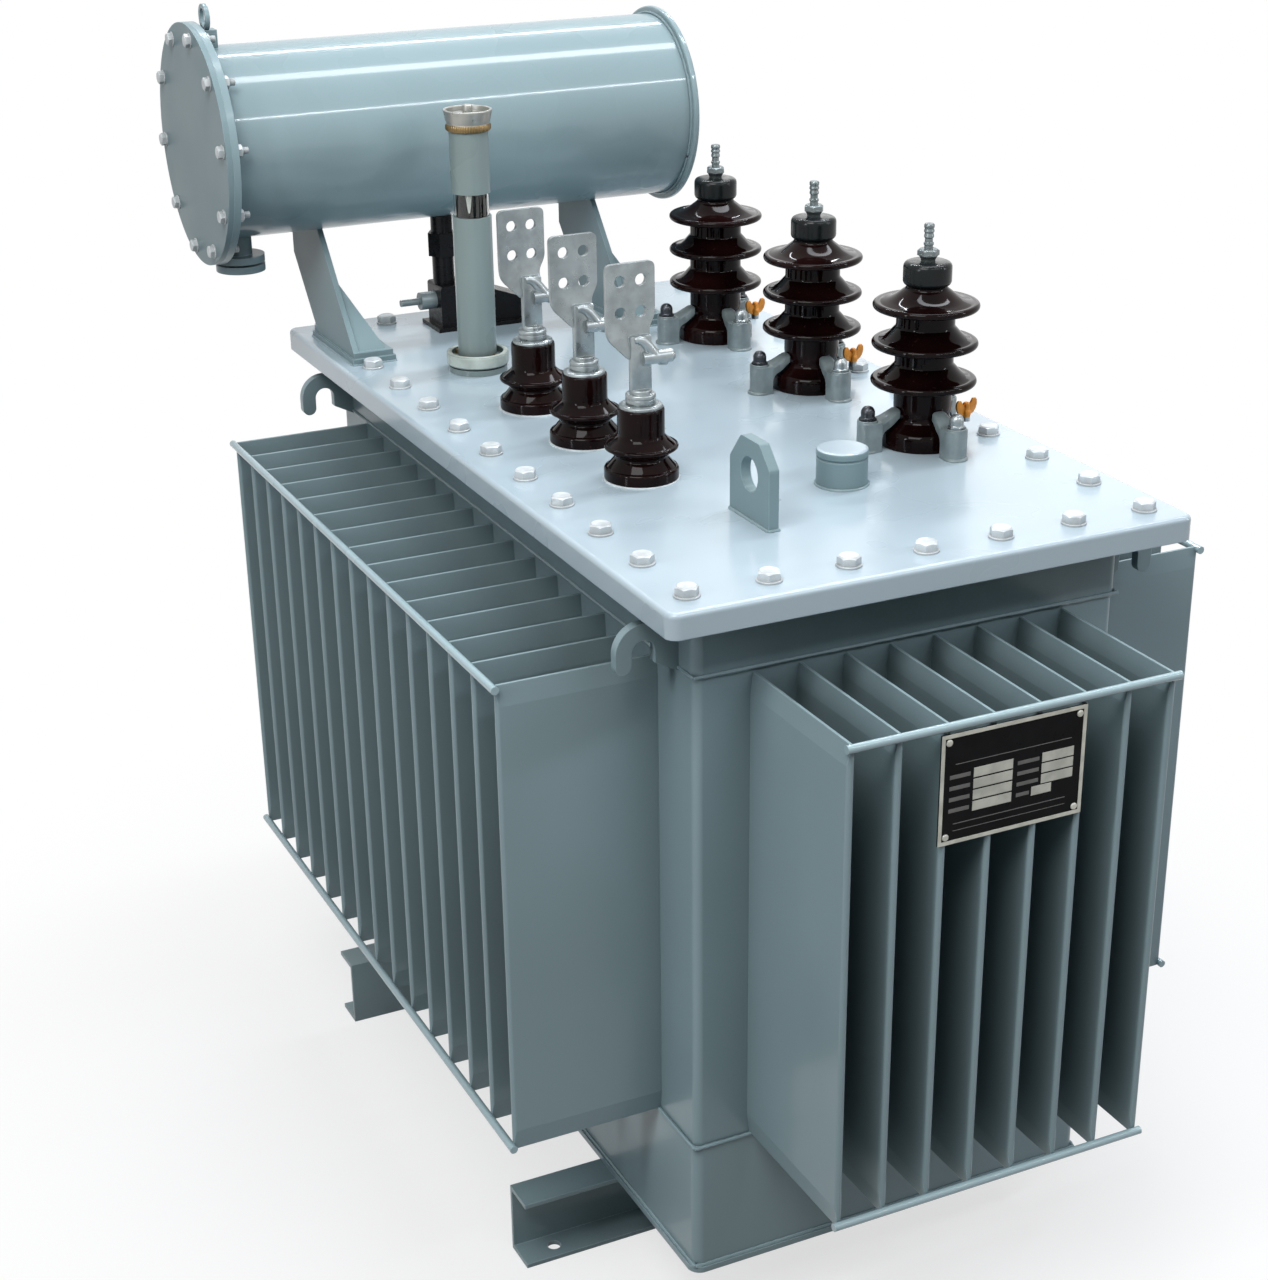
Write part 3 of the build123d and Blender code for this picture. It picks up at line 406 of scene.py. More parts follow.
def paint(name, base, rough=0.34, coat=0.20, edge=0.0016, gloss=0.14, dirt_and_shade=1.0, wavy=0.05,
          shine=0.22):
    """Enamel on steel: faint orange peel, clouds of tone, darker clouds of dirt, painted shade in
    corners and between parts, and a painted highlight along the edges.

    coat and gloss are the clear coat's weight and roughness, and shine is the specular level.
    """
    s = Shader(name, Metallic=0.0, Coat_Weight=coat, Coat_Roughness=gloss,
               Specular_IOR_Level=shine)
    tone = s.ramp(s.noise(CLOUDS, 2.0), [(0.30, scaled(base, 0.95)), (0.70, scaled(base, 1.04))])
    # dirt_and_shade scales both the darker clouds of dirt and the painted shade where other
    # surfaces stand close.
    if dirt_and_shade:
        drift = s.noise(DRIFT, 2.0, 0.5, (1.0, 1.0, 0.4))
        tone = s.mix(s.span(drift, 0.2, 0.8, 0.0, 0.16 * dirt_and_shade), tone, scaled(base, 0.75))
        tone = s.painted_shade(tone, base, SHADE_REACH, SHADE_MOST * dirt_and_shade)
    # A painted highlight along the edges: the colour turns lighter where the rounded normal leaves
    # the true one.
    facing = s.node("ShaderNodeVectorMath", operation="DOT_PRODUCT")
    s.link(s.rounded(edge), facing.inputs[0])
    s.link(s.node("ShaderNodeNewGeometry").outputs["Normal"], facing.inputs[1])
    edge_highlight = s.span(facing.outputs["Value"], 0.99, 0.90, 0.0, 0.65)
    s.color(s.mix(edge_highlight, tone, scaled(base, 1.6)))
    s.rough(SHEEN_DRIFT, 2.0, rough - 0.04, rough + 0.05)
    s.bump([(s.noise(WAVES, 2.0), wavy, 0.0030), (s.noise(PEEL, 2.0), 0.05, 0.0003)], edge)
    return s.material


def metal(name, base, rough, grain=260.0, share=1.0, dirt_and_shade=0.0, reach=0.012, shine=0.5):
    """Plated or tinned metal with handling marks, dulled by a metallic share below one."""
    s = Shader(name, Metallic=share, Specular_IOR_Level=shine)
    tone = s.ramp(s.noise(45.0, 4.0), [(0.3, scaled(base, 0.80)), (0.7, scaled(base, 1.08))])
    tone = s.mix(s.span(s.noise(170.0, 3.0), 0.62, 0.80, 0.0, 0.3), tone, scaled(base, 0.6))
    # Here dirt_and_shade sets only painted shade where other surfaces stand close, such as round a
    # bolt's washer.
    if dirt_and_shade:
        tone = s.painted_shade(tone, base, reach, dirt_and_shade)
    s.color(tone)
    s.rough(80.0, 4.0, rough - 0.06, rough + 0.07)
    s.bump([(s.noise(grain, 3.0, 0.6), 0.22, 0.0004)], 0.0006)
    return s.material


def plastic(name, base, rough, shine=0.25):
    """Moulded or thickly painted matter of one dark or pale tone."""
    s = Shader(name, Specular_IOR_Level=shine)
    s.color(s.ramp(s.noise(30.0, 3.0), [(0.3, scaled(base, 0.8)), (0.7, scaled(base, 1.2))]))
    s.rough(90.0, 3.0, rough - 0.06, rough + 0.08)
    s.bump([(s.noise(260.0, 3.0), 0.15, 0.0003)], 0.0008)
    return s.material


def porcelain():
    """Dark brown glaze with fine paler specks."""
    s = Shader("brown_porcelain", Specular_IOR_Level=0.11)
    tone = s.ramp(s.noise(12.0, 4.0), [(0.3, (0.0035, 0.0010, 0.0011)),
                                       (0.7, (0.0115, 0.0030, 0.0029))])
    specks = s.span(s.noise(230.0, 2.0), 0.66, 0.76, 0.0, 0.5)
    s.color(s.mix(specks, tone, (0.040, 0.016, 0.013)))
    s.rough(30.0, 3.0, 0.04, 0.09)
    s.bump([(s.noise(26.0, 2.0), 0.04, 0.0012)])
    return s.material


def glass():
    """Clear glass with a slight waviness."""
    s = Shader("gauge_glass", Transmission_Weight=1.0, IOR=1.45)
    s.color(s.ramp(s.noise(20.0), [(0.3, (0.90, 0.93, 0.92)), (0.7, (0.97, 0.98, 0.97))]))
    s.rough(60.0, 3.0, 0.02, 0.06)
    s.bump([(s.noise(18.0), 0.05, 0.0005)])
    return s.material


def plate():
    """Black printed field on thin aluminium."""
    s = Shader("plate_metal", Specular_IOR_Level=0.06)
    s.color(s.ramp(s.noise(30.0), [(0.3, (0.0035, 0.0035, 0.0042)), (0.7, (0.007, 0.007, 0.008))]))
    s.rough(50.0, 3.0, 0.26, 0.40)
    s.bump([(s.noise(300.0), 0.10, 0.0002)], 0.0004)
    return s.material


TANK = (0.290, 0.395, 0.422)
# The lid takes the tank's paint painted lighter: a painted highlight for the light that falls on
# its top.
LID_PAINTED_LIGHTER = (0.468, 0.575, 0.635)
GAUGE = (0.275, 0.345, 0.340)

tank_paint = paint("tank_paint", TANK)
lid_paint = paint("lid_paint", LID_PAINTED_LIGHTER, rough=0.30, coat=0.55, gloss=0.15, dirt_and_shade=0.0, wavy=0.004,
                  shine=0.45)
shell_paint = paint("shell_paint", TANK, rough=0.28, coat=0.50, gloss=0.08, dirt_and_shade=0.7, wavy=0.02,
                    shine=0.12)
# The tank's paint painted darker: painted shade on the end cover, the conservator's legs, the lid's
# lug and the filler's side.
shaded_paint = paint("shaded_paint", scaled(TANK, 0.88), rough=0.32, coat=0.04, dirt_and_shade=0.6, shine=0.08)
# The rods take the tank's paint painted lighter: a painted highlight for the light on their tops.
lit_rod_paint = paint("lit_rod_paint", scaled(TANK, 1.32), rough=0.24, coat=0.7, gloss=0.10, dirt_and_shade=0.5,
                  edge=0.0008)
gauge_enamel = paint("gauge_enamel", GAUGE, rough=0.30, coat=0.3, edge=0.0010)

tinned_metal = metal("tinned_metal", (0.335, 0.37, 0.378), 0.32, share=0.8)
clamp_metal = metal("clamp_metal", (0.215, 0.262, 0.270), 0.36, grain=190.0, share=0.15)
zinc = metal("bright_zinc", (0.74, 0.78, 0.79), 0.34, share=0.12, dirt_and_shade=0.95, reach=0.020,
             shine=0.25)
stud_metal = metal("stud_metal", (0.20, 0.23, 0.235), 0.36, share=0.8)
dark_steel = metal("dark_steel", (0.060, 0.064, 0.072), 0.32, share=0.8)
orange_brass = metal("orange_brass", (0.78, 0.29, 0.025), 0.36, share=0.2)
ring_brass = metal("ring_brass", (0.24, 0.165, 0.075), 0.30, share=0.8)
cap_metal = metal("gauge_brass", (0.40, 0.40, 0.37), 0.33, share=0.6)
bare_aluminium = metal("bare_aluminium", (0.50, 0.50, 0.44), 0.40, share=0.6)
blank_field = metal("blank_field", (0.62, 0.62, 0.54), 0.45, share=0.1)
faint_strip = metal("faint_strip", (0.15, 0.15, 0.14), 0.5, share=0.1)

dark_cap = plastic("dark_cap", (0.006, 0.0085, 0.009), 0.20, shine=0.22)
dark_fitting = plastic("dark_fitting", (0.005, 0.005, 0.006), 0.30, shine=0.2)
black_inside = plastic("black_inside", (0.0020, 0.0022, 0.0020), 0.4, shine=0.02)
stem_enamel = plastic("stem_enamel", (0.62, 0.64, 0.60), 0.35)
seal_white = plastic("seal_white", (0.62, 0.68, 0.70), 0.5)
cup_enamel = plastic("cup_enamel", (0.47, 0.52, 0.47), 0.32)

brown_porcelain = porcelain()
clear_glass = glass()

# Each CAD node keeps its mesh and takes the finish of its slot, or its own where it has one here.
finishes = {
    "tank_paint": tank_paint,
    "lid_paint": lid_paint,
    "brown_porcelain": brown_porcelain,
    "tinned_metal": tinned_metal,
    "clamp_metal": clamp_metal,
    "dark_cap": dark_cap,
    "gauge_glass": clear_glass,
    "gauge_enamel": gauge_enamel,
    "gauge_brass": cap_metal,
    "dark_fitting": dark_fitting,
    "plate_metal": plate(),
}
# Some nodes take a paint of their own: the shell a glossier one, the end cover, legs and lug the
# tank's paint painted darker as painted shade, and the rods the tank's paint painted lighter as a
# painted highlight.
special = {
    "conservator_shell": shell_paint,
    "conservator_end_cap": shell_paint,
    "conservator_end_cover": shaded_paint,
    "conservator_leg_left": shaded_paint,
    "conservator_leg_right": shaded_paint,
    "lid_lifting_lug": shaded_paint,
    "fin_rods_sides": lit_rod_paint,
    "fin_rods_ends": lit_rod_paint,
}
for part in frame["record"]["subparts"]:
    body = nodes[part["node"]]
    body.data.materials.clear()
    body.data.materials.append(special.get(part["node"], finishes[part["material_slot"]]))

# --------------------------------------------------------- bolts round the lid
LID_SHEET = 8.0
LEG_FOOT = 17.0  # height of the leg's foot, under one of the bolts
RIM_COUNT_X, RIM_COUNT_Y = 7, 12
RIM_HALF_X, RIM_HALF_Y = 300, 604
RIM_PITCH = 100
M16_WASHER = (15.0, 7.5, 2.8)  # outer radius, inner radius and thickness
M16_ACROSS = 24.0
M16_THREAD = (8.0, 11.0, 2.0, 0.9)  # radius, length, pitch and depth
HEX_TURN = 60  # degrees within which a hexagon head stands at random

lid_top = top("tank_flange") + LID_SHEET
flange_low = low("tank_flange").z
rim_x = [-RIM_HALF_X + RIM_PITCH * i for i in range(RIM_COUNT_X)]
rim_y = [-RIM_HALF_Y + 2 * RIM_HALF_Y * i / (RIM_COUNT_Y - 1) for i in range(RIM_COUNT_Y)]
rim = [(x, y) for x in rim_x for y in (rim_y[0], rim_y[-1])]
rim += [(x, y) for y in rim_y[1:-1] for x in (rim_x[0], rim_x[-1])]
foot_bolt = (rim_x[0], rim_y[-2])

bm = bmesh.new()
nuts = bmesh.new()
for x, y in rim:
    base = lid_top + LEG_FOOT if (x, y) == foot_bolt else lid_top
    washer(bm, place(x, y, base - 0.2), *M16_WASHER)
    hex_head(bm, place(x, y, base + 2.5, turn=rng.uniform(0, HEX_TURN)), M16_ACROSS, 10.0,
             crown=0.9, dish=0.35)
    washer(nuts, place(x, y, flange_low + 0.2, "-z"), *M16_WASHER)
    hex_head(nuts, place(x, y, flange_low - 2.5, "-z", rng.uniform(0, HEX_TURN)), M16_ACROSS, 12.0,
             crown=0.9)
    thread(nuts, place(x, y, flange_low - 14.0, "-z"), *M16_THREAD)
piece("rim_bolts", bm, "clamp_metal", zinc)
piece("rim_nuts", nuts, "clamp_metal", dark_steel)

# ---------------------------------------------- bolts of the conservator's end
AXIS_Y, AXIS_Z = 565.0, 1306.0
COVER_BOLTS = 10
COVER_FIRST, COVER_STEP = 30, 36  # degrees
COVER_CIRCLE = 149
M10_WASHER = (10.0, 6.0, 1.8)
M10_ACROSS = 16.0
M10_THREAD = (5.0, 9.0, 1.5, 0.6)

cover_x = low("conservator_end_cover").x
flange_x = high("conservator_flange").x
bm = bmesh.new()
for i in range(COVER_BOLTS):
    t = math.radians(COVER_FIRST + COVER_STEP * i)
    y = AXIS_Y + COVER_CIRCLE * math.cos(t)
    z = AXIS_Z + COVER_CIRCLE * math.sin(t)
    washer(bm, place(cover_x + 0.2, y, z, "-x"), *M10_WASHER, segments=28)
    hex_head(bm, place(cover_x - 1.5, y, z, "-x", rng.uniform(0, HEX_TURN)), M10_ACROSS, 7.0,
             crown=0.6)
    hex_head(bm, place(flange_x - 0.2, y, z, "x", rng.uniform(0, HEX_TURN)), M10_ACROSS, 8.5,
             crown=0.6)
    thread(bm, place(flange_x + 8.0, y, z, "x"), *M10_THREAD)
piece("cover_bolts", bm, "clamp_metal", zinc)

# --------------------------------------------------------------- tall bushings
# Heights are above the lid.
HV_X, HV_MIDDLE, HV_PITCH = 206.0, 24, 286
WAIST, NECK = 37, 26.0
SHED, SHED_ROLL = 62.5, 4.5
SHED_TIPS = (82, 130, 178)
PORCELAIN_TOP = 200
HV_FOOT = [(0, 0), (54, 0, 1.5), (54, 20, 5), (33.5, 34, 8), (WAIST, 46, 6), (WAIST, 60)]

hv_rows = [HV_MIDDLE + HV_PITCH * i for i in (-1, 0, 1)]
profile = soften(HV_FOOT)[:-1]
for tip in SHED_TIPS:
    inner = NECK if tip == SHED_TIPS[-1] else WAIST
    profile += soften([(WAIST, tip - 22), (WAIST, tip - 2, 5), (SHED, tip - SHED_ROLL)])[1:]
    for k in range(-5, 6):
        t = math.radians(15 * k)
        profile.append((SHED + SHED_ROLL * math.cos(t), tip + SHED_ROLL * math.sin(t)))
    slope = [(SHED, tip + SHED_ROLL), (58.8, tip + 4.1, 3), ((SHED + inner) / 2, tip + 7.8, 60),
             (inner, tip + 22, 2.5), (inner, tip + 30)]
    profile += soften(slope, 7)[1:-1]
profile.append((0, PORCELAIN_TOP))
bm = bmesh.new()
for y in hv_rows:
    lathe(bm, profile, place(HV_X, y, lid_top), 96)
insulators = piece("hv_insulators", bm, "brown_porcelain", brown_porcelain)
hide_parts("hv_porcelain_1", "hv_porcelain_2", "hv_porcelain_3")

CAP = [(0, PORCELAIN_TOP), (26, PORCELAIN_TOP), (26, 203, 1.5), (30.5, 206, 4), (30.5, 232, 7),
       (14, 233), (0, 233)]
bm = bmesh.new()
for y in hv_rows:
    lathe(bm, soften(CAP, 6), place(HV_X, y, lid_top), 72)
caps = piece("hv_rubber_caps", bm, "dark_cap", dark_cap)
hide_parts("hv_caps")

STUD_COLLAR = [(0, 232), (8.6, 232), (9.4, 236, 2), (12.3, 240), (12.3, 242), (0, 242)]
STUD = [(0, 247), (5.4, 247), (5.4, 252), (6.3, 253), (6.3, 255.5), (5.0, 256.5), (5.0, 261),
        (6.2, 262.5), (6.2, 265), (5.6, 266), (5.6, 268), (6.5, 269), (6.5, 271), (5.8, 272),
        (5.8, 273.5), (6.5, 274.5), (6.5, 277.5), (5.4, 279), (0, 279)]
STUD_NUT_Z = 240
bm = bmesh.new()
for y in hv_rows:
    here = place(HV_X, y, lid_top)
    lathe(bm, soften(STUD_COLLAR), here, 36)
    nut_at = place(HV_X, y, lid_top + STUD_NUT_Z, turn=rng.uniform(0, HEX_TURN))
    hex_head(bm, nut_at, M16_ACROSS, 8.0, crown=0.9)
    lathe(bm, STUD, here, 28)
studs = piece("hv_studs", bm, "tinned_metal", stud_metal)
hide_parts("hv_terminal_1", "hv_terminal_2", "hv_terminal_3")

# The clamp's sections, as distance from the bushing's axis and height of the underside.
CLAMP_SECTIONS = [
    (93.0, 0.0), (92.6, 0.0), (91.6, 0.0), (90.0, 0.0), (88.0, 0.0), (85.5, 0.0), (82.5, 0.0),
    (80.0, 0.0), (75.0, 0.0), (70.0, 0.0), (67.0, 0.0), (67.0, 17.0), (66.0, 21.5), (64.0, 24.6),
    (61.0, 26.8), (57.5, 28.2), (54.0, 29.2), (50.0, 31.0), (46.0, 33.6), (41.5, 37.0),
    (38.0, 39.4),
]
CLAMP_ROWS = [-1.0, -0.97, -0.88, -0.7, -0.4, 0.0, 0.4, 0.7, 0.88, 0.97, 1.0]
BRIGHT_TURN = 270
CLAMP_TURNS = (180, BRIGHT_TURN, 36)  # degrees about the bushing; one has a bright nut
POST, POST_INNER, POST_REACH, POST_HALF, POST_CROWN = 80, 67, 13, 15, 0.8
ARM_END, ARM_LENGTH, ARM_HALF, ARM_SPREAD, ARM_CROWN = 38, 29, 9.0, 6.0, 3.2
RISE_FROM, CREST, CREST_RISE = 70, 38.6, 11.5
LIP = [(10.6, 35.5), (12.9, 35.5), (13.3, 38.6), (13.0, 40.2), (12.2, 40.8), (11.3, 40.4),
       (10.6, 39.0)]
CLAMP_FOOT = [(0, 0), (16.2, 0), (16.2, 2.2, 1.2), (14.2, 3.6), (0, 3.6)]
CLAMP_NUT_Z, CLAMP_NUT_ACROSS = 38.0, 19.5
DOME = [(0, 43), (8.9, 43), (9.1, 52.5, 3.5), (5.5, 57.5, 3), (0, 58.2)]


def clamp(bm, at):
    """A post with a rounded back, and an arm that arches over the foot and rises to the waist."""
    upper = []
    under = []
    for u, base in CLAMP_SECTIONS:
        if u >= POST:
            half = POST_HALF * math.sqrt(max(0.002, 1 - ((u - POST) / POST_REACH) ** 2))
        elif u >= POST_INNER:
            half = POST_HALF
        else:
            half = ARM_HALF + ARM_SPREAD * ((u - ARM_END) / ARM_LENGTH) ** 1.4
        rise = min(1.0, max(0.0, (RISE_FROM - u) / ARM_LENGTH))
        crest = CREST + CREST_RISE * rise * rise * (3 - 2 * rise) ** 0.5
        crown = POST_CROWN if u >= POST_INNER else ARM_CROWN
        upper.append([
            bm.verts.new(at @ Vector((u, r * half, crest - crown * r ** 6))) for r in CLAMP_ROWS
        ])
        under.append([bm.verts.new(at @ Vector((u, r * half, base))) for r in CLAMP_ROWS])
    across = range(len(CLAMP_ROWS) - 1)
    for grid in (upper, under):
        for a, b in zip(grid, grid[1:]):
            for i in across:
                bm.faces.new((a[i], a[i + 1], b[i + 1], b[i]))
    for i in (0, -1):
        for j in range(len(CLAMP_SECTIONS) - 1):
            bm.faces.new((upper[j][i], upper[j + 1][i], under[j + 1][i], under[j][i]))
    for a, b in ((upper[0], under[0]), (upper[-1], under[-1])):
        for i in across:
            bm.faces.new((a[i], a[i + 1], b[i + 1], b[i]))


WING_PIN = [(0, 18), (5.4, 18), (5.4, 27), (3.0, 28), (3.0, 31), (0, 31)]
WING_HUB = [(0, 24), (5.6, 24), (6.2, 26), (6.2, 31, 1.5), (4.6, 34), (4.6, 41, 1), (2.4, 43),
            (0, 43)]
WING_OUTLINE = [(3, 26), (7, 25.5), (12, 27.5), (16, 32), (18, 38), (17.5, 43.5), (14.5, 46.5),
                (10.5, 46), (7, 41), (3, 36)]
WING_LAYERS = ((-1.8, 0.86), (-1.2, 1.0), (1.2, 1.0), (1.8, 0.86))
WING_X, WING_Y, WING_MIDDLE_Z, WING_MIDDLE = 67, 1, 36, 10
LEAF_ALONG, LEAF_ACROSS = 0.98, 0.20


def wing(bm, x, y, side):
    """One rounded leaf of a wing nut, swollen in the middle, turned a little from the X axis."""
    loops = []
    for depth, grow in WING_LAYERS:
        loop = []
        for a, b in WING_OUTLINE:
            reach = side * (WING_MIDDLE + (a - WING_MIDDLE) * grow)
            spot = Vector((
                x + reach * LEAF_ALONG - depth * LEAF_ACROSS,
                y + reach * LEAF_ACROSS + depth * LEAF_ALONG,
                lid_top + WING_MIDDLE_Z + (b - WING_MIDDLE_Z) * grow,
            ))
            loop.append(bm.verts.new(spot * MM))
        loops.append(loop)
    rings(bm, loops)


clamps = bmesh.new()
nuts = bmesh.new()
wings = bmesh.new()
for y in hv_rows:
    for turn in CLAMP_TURNS:
        clamp(clamps, place(HV_X, y, lid_top, turn=turn))
        t = math.radians(turn)
        cx = HV_X + POST * math.cos(t)
        cy = y + POST * math.sin(t)
        here = place(cx, cy, lid_top)
        lathe_ring(clamps, LIP, here, 40)
        lathe(clamps, soften(CLAMP_FOOT), here, 40)
        tag = 1 if turn == BRIGHT_TURN else 0
        nut_at = place(cx, cy, lid_top + CLAMP_NUT_Z, turn=rng.uniform(0, HEX_TURN))
        hex_head(nuts, nut_at, CLAMP_NUT_ACROSS, 7.0, tag=tag, crown=1.0)
        lathe(nuts, soften(DOME, 6), here, 32, tag=tag)
    stem = place(HV_X + WING_X, y + WING_Y, lid_top)
    lathe(nuts, WING_PIN, stem, 20, tag=1)
    lathe(wings, soften(WING_HUB), stem, 24)
    for side in (-1, 1):
        wing(wings, HV_X + WING_X, y + WING_Y, side)
clamp_piece = piece("hv_clamps", clamps, "clamp_metal", clamp_metal)
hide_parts("hv_base_1", "hv_base_2", "hv_base_3")
piece("clamp_nuts", nuts, "clamp_metal", dark_steel, tinned_metal)
piece("vent_wing_nuts", wings, "gauge_brass", orange_brass)

# -------------------------------------------------------------- short bushings
# Heights are above the lid.
LV_X, LV_MIDDLE, LV_PITCH = -172.0, -61, 165
SHORT_BODY = [
    (0, 0.8), (45, 0.8), (46, 2.5, 1), (46, 13.6, 1.6), (44.4, 15.8, 1.4), (42.6, 16.0, 1.2),
    (31, 29.6, 4), (42.5, 37.6, 2), (45.6, 39.6, 1.4), (45.6, 42.6, 1.6), (43.6, 43.8, 1.2),
    (41.8, 43.4, 1.2), (31.5, 52, 3), (29, 56, 2.5), (29, 89.6, 4), (24, 90), (0, 90),
]
SEAL = [(0, 0), (47.6, 0), (47.6, 1.6, 0.8), (44, 1.8), (0, 1.8)]

lv_rows = [LV_MIDDLE + LV_PITCH * i for i in (-1, 0, 1)]
bm = bmesh.new()
seals = bmesh.new()
for y in lv_rows:
    here = place(LV_X, y, lid_top)
    lathe(bm, soften(SHORT_BODY), here, 96)
    lathe(seals, soften(SEAL), here, 72)
short = piece("lv_insulators", bm, "brown_porcelain", brown_porcelain)
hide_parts("lv_porcelain_1", "lv_porcelain_2", "lv_porcelain_3")
piece("lv_seals", seals, "lid_paint", seal_white)

FLAG_LEFT, FLAG_RIGHT, FLAG_TOP = -41.0, 23.0, 264
FLAG_HOLES_X, FLAG_HOLES_Z, FLAG_HOLE_RADIUS = (-22.5, 4.5), (205, 243), 7.2
FLAG_THICK, FLAG_SET_BACK = 6.0, 5.5
BEND_FROM, BEND_LENGTH, BEND = 200, 46, 6.5
BEND_CUTS, BEND_LOWEST, BEND_STEP = 9, 152, 5.5
FLAG_CORNERS = [(FLAG_LEFT, FLAG_TOP, 8), (FLAG_RIGHT, FLAG_TOP, 8), (FLAG_RIGHT, 199, 6),
                (14, 183, 5), (14, 150), (-16, 150), (FLAG_LEFT, 175, 9)]
BLADE_HALF_X, BLADE_HALF_Y, BLADE_LOW, BLADE_HIGH = 14, 5, 108, 178
PIN_Z = 150.0
PIN = [(0, 0), (8.5, 0), (8.5, 39.5, 2), (6, 42), (0, 42)]
BAR_LINE = [(-9, 176), (-4, 176.5), (2, 174), (8, 168), (13, 160.5), (18, 154), (25, 150.5),
            (32, 150)]
BAR_RADII = [4.2, 5.4, 6.2, 6.8, 7.4, 8.0, 8.3, 8.4]
NUTS = [(0, 89.8), (26.5, 89.8), (26.5, 93, 1.2), (22, 94.6, 1), (17, 94.6), (18.4, 96, 1),
        (18.4, 100.5), (17.6, 101), (17.6, 101.8), (18.4, 102.4), (18.4, 107, 2.5),
        (13.5, 107.6), (13.5, 112, 1.8), (0, 112.5)]


def flag(bm, y0):
    """The drilled plate behind the blade, bent forward where it meets it."""
    closed = [FLAG_CORNERS[-1]] + FLAG_CORNERS + [FLAG_CORNERS[0]]
    outline = []
    for a, b, c in zip(closed, closed[1:], closed[2:]):
        outline += soften([a[:2], b, c[:2]])[1:-1]
    loops = [outline]
    for x in FLAG_HOLES_X:
        for z in FLAG_HOLES_Z:
            loops.append([
                (x + FLAG_HOLE_RADIUS * math.cos(t), z + FLAG_HOLE_RADIUS * math.sin(t))
                for t in angles(28)
            ])
    edges = []
    for loop in loops:
        verts = [bm.verts.new(Vector((LV_X + x, y0, lid_top + z)) * MM) for x, z in loop]
        edges += [bm.edges.new((a, b)) for a, b in zip(verts, verts[1:] + verts[:1])]
    made = bmesh.ops.triangle_fill(bm, edges=edges, use_beauty=True)
    faces = [g for g in made["geom"] if isinstance(g, bmesh.types.BMFace)]
    grown = bmesh.ops.extrude_face_region(bm, geom=faces)["geom"]
    fresh = [g for g in grown if isinstance(g, bmesh.types.BMVert)]
    bmesh.ops.translate(bm, vec=(0, FLAG_THICK * MM, 0), verts=fresh)
    for k in range(BEND_CUTS):
        level = (lid_top + BEND_LOWEST + BEND_STEP * k) * MM
        bmesh.ops.bisect_plane(bm, geom=bm.verts[:] + bm.edges[:] + bm.faces[:],
                               plane_co=(0, 0, level), plane_no=(0, 0, 1))
    for v in bm.verts:
        t = min(1.0, max(0.0, (lid_top + BEND_FROM - v.co.z / MM) / BEND_LENGTH))
        v.co.y -= BEND * MM * t * t * (3 - 2 * t)


bm = bmesh.new()
for y in lv_rows:
    flag_bm = bmesh.new()
    flag(flag_bm, y + FLAG_SET_BACK)
    loose = bpy.data.meshes.new("flag_part")
    flag_bm.to_mesh(loose)
    flag_bm.free()
    bm.from_mesh(loose)
    bpy.data.meshes.remove(loose)
    block(bm, (LV_X - BLADE_HALF_X, y - BLADE_HALF_Y, lid_top + BLADE_LOW),
          (LV_X + BLADE_HALF_X, y + BLADE_HALF_Y, lid_top + BLADE_HIGH), bevel=3.0)
    lathe(bm, soften(PIN), place(LV_X, y - BLADE_HALF_Y, lid_top + PIN_Z, "x"), 28)
    bar = [(LV_X + a, y - 3 - 2.4 * i / 7, lid_top + b - 3) for i, (a, b) in enumerate(BAR_LINE)]
    tube(bm, bar, BAR_RADII)
    lathe(bm, soften(NUTS), place(LV_X, y, lid_top), 64)
short_terminals = piece("lv_terminals", bm, "tinned_metal", tinned_metal)
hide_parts("lv_terminal_1", "lv_terminal_2", "lv_terminal_3")

# ------------------------------------------------------------------ oil filler
FILLER = [(0, 0), (31.5, 0), (31.5, 33.6), (29.8, 34.6), (29.8, 36.2), (32, 37, 0.8),
          (32, 44.6, 2.2), (28, 45.4, 1), (0, 45.4)]
FILLER_TOP_FROM = 44.5

filler = (low("oil_filler") + high("oil_filler")) / 2
bm = bmesh.new()
lathe(bm, soften(FILLER), place(filler.x, filler.y, lid_top), 72)
# The filler's top takes the lid's lighter paint and its side the darker shaded paint: a painted
# highlight on top and painted shade on the side.
for face in bm.faces:
    if face.calc_center_median().z > (lid_top + FILLER_TOP_FROM) * MM:
        face.material_index = 1
filler_piece = piece("filler_cap", bm, "tank_paint", shaded_paint, lid_paint)
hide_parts("oil_filler")

# ------------------------------------------------------------------ weld beads
# Each seam round the tank is its height, the bead's radius and the pitch of its ripples.
TANK_SEAMS = ((903.0, 2.6, 5.0), (283.0, 2.6, 5.0), (108.6, 3.0, 6.0), (flange_low - 0.6, 3.0, 6.0))


def around(x0, y0, x1, y1, z):
    """Corners of a level rectangle."""
    return [(x0, y0, z), (x1, y0, z), (x1, y1, z), (x0, y1, z)]


def circle(x, y, z, r, axis="z", count=48):
    """Points of a full circle about an axis, with the first one repeated at the end."""
    found = []
    for i in range(count + 1):
        t = math.radians(360.0 * i / count)
        a, b = r * math.cos(t), r * math.sin(t)
        found.append((x + a, y + b, z) if axis == "z" else (x, y + a, z + b))
    return found


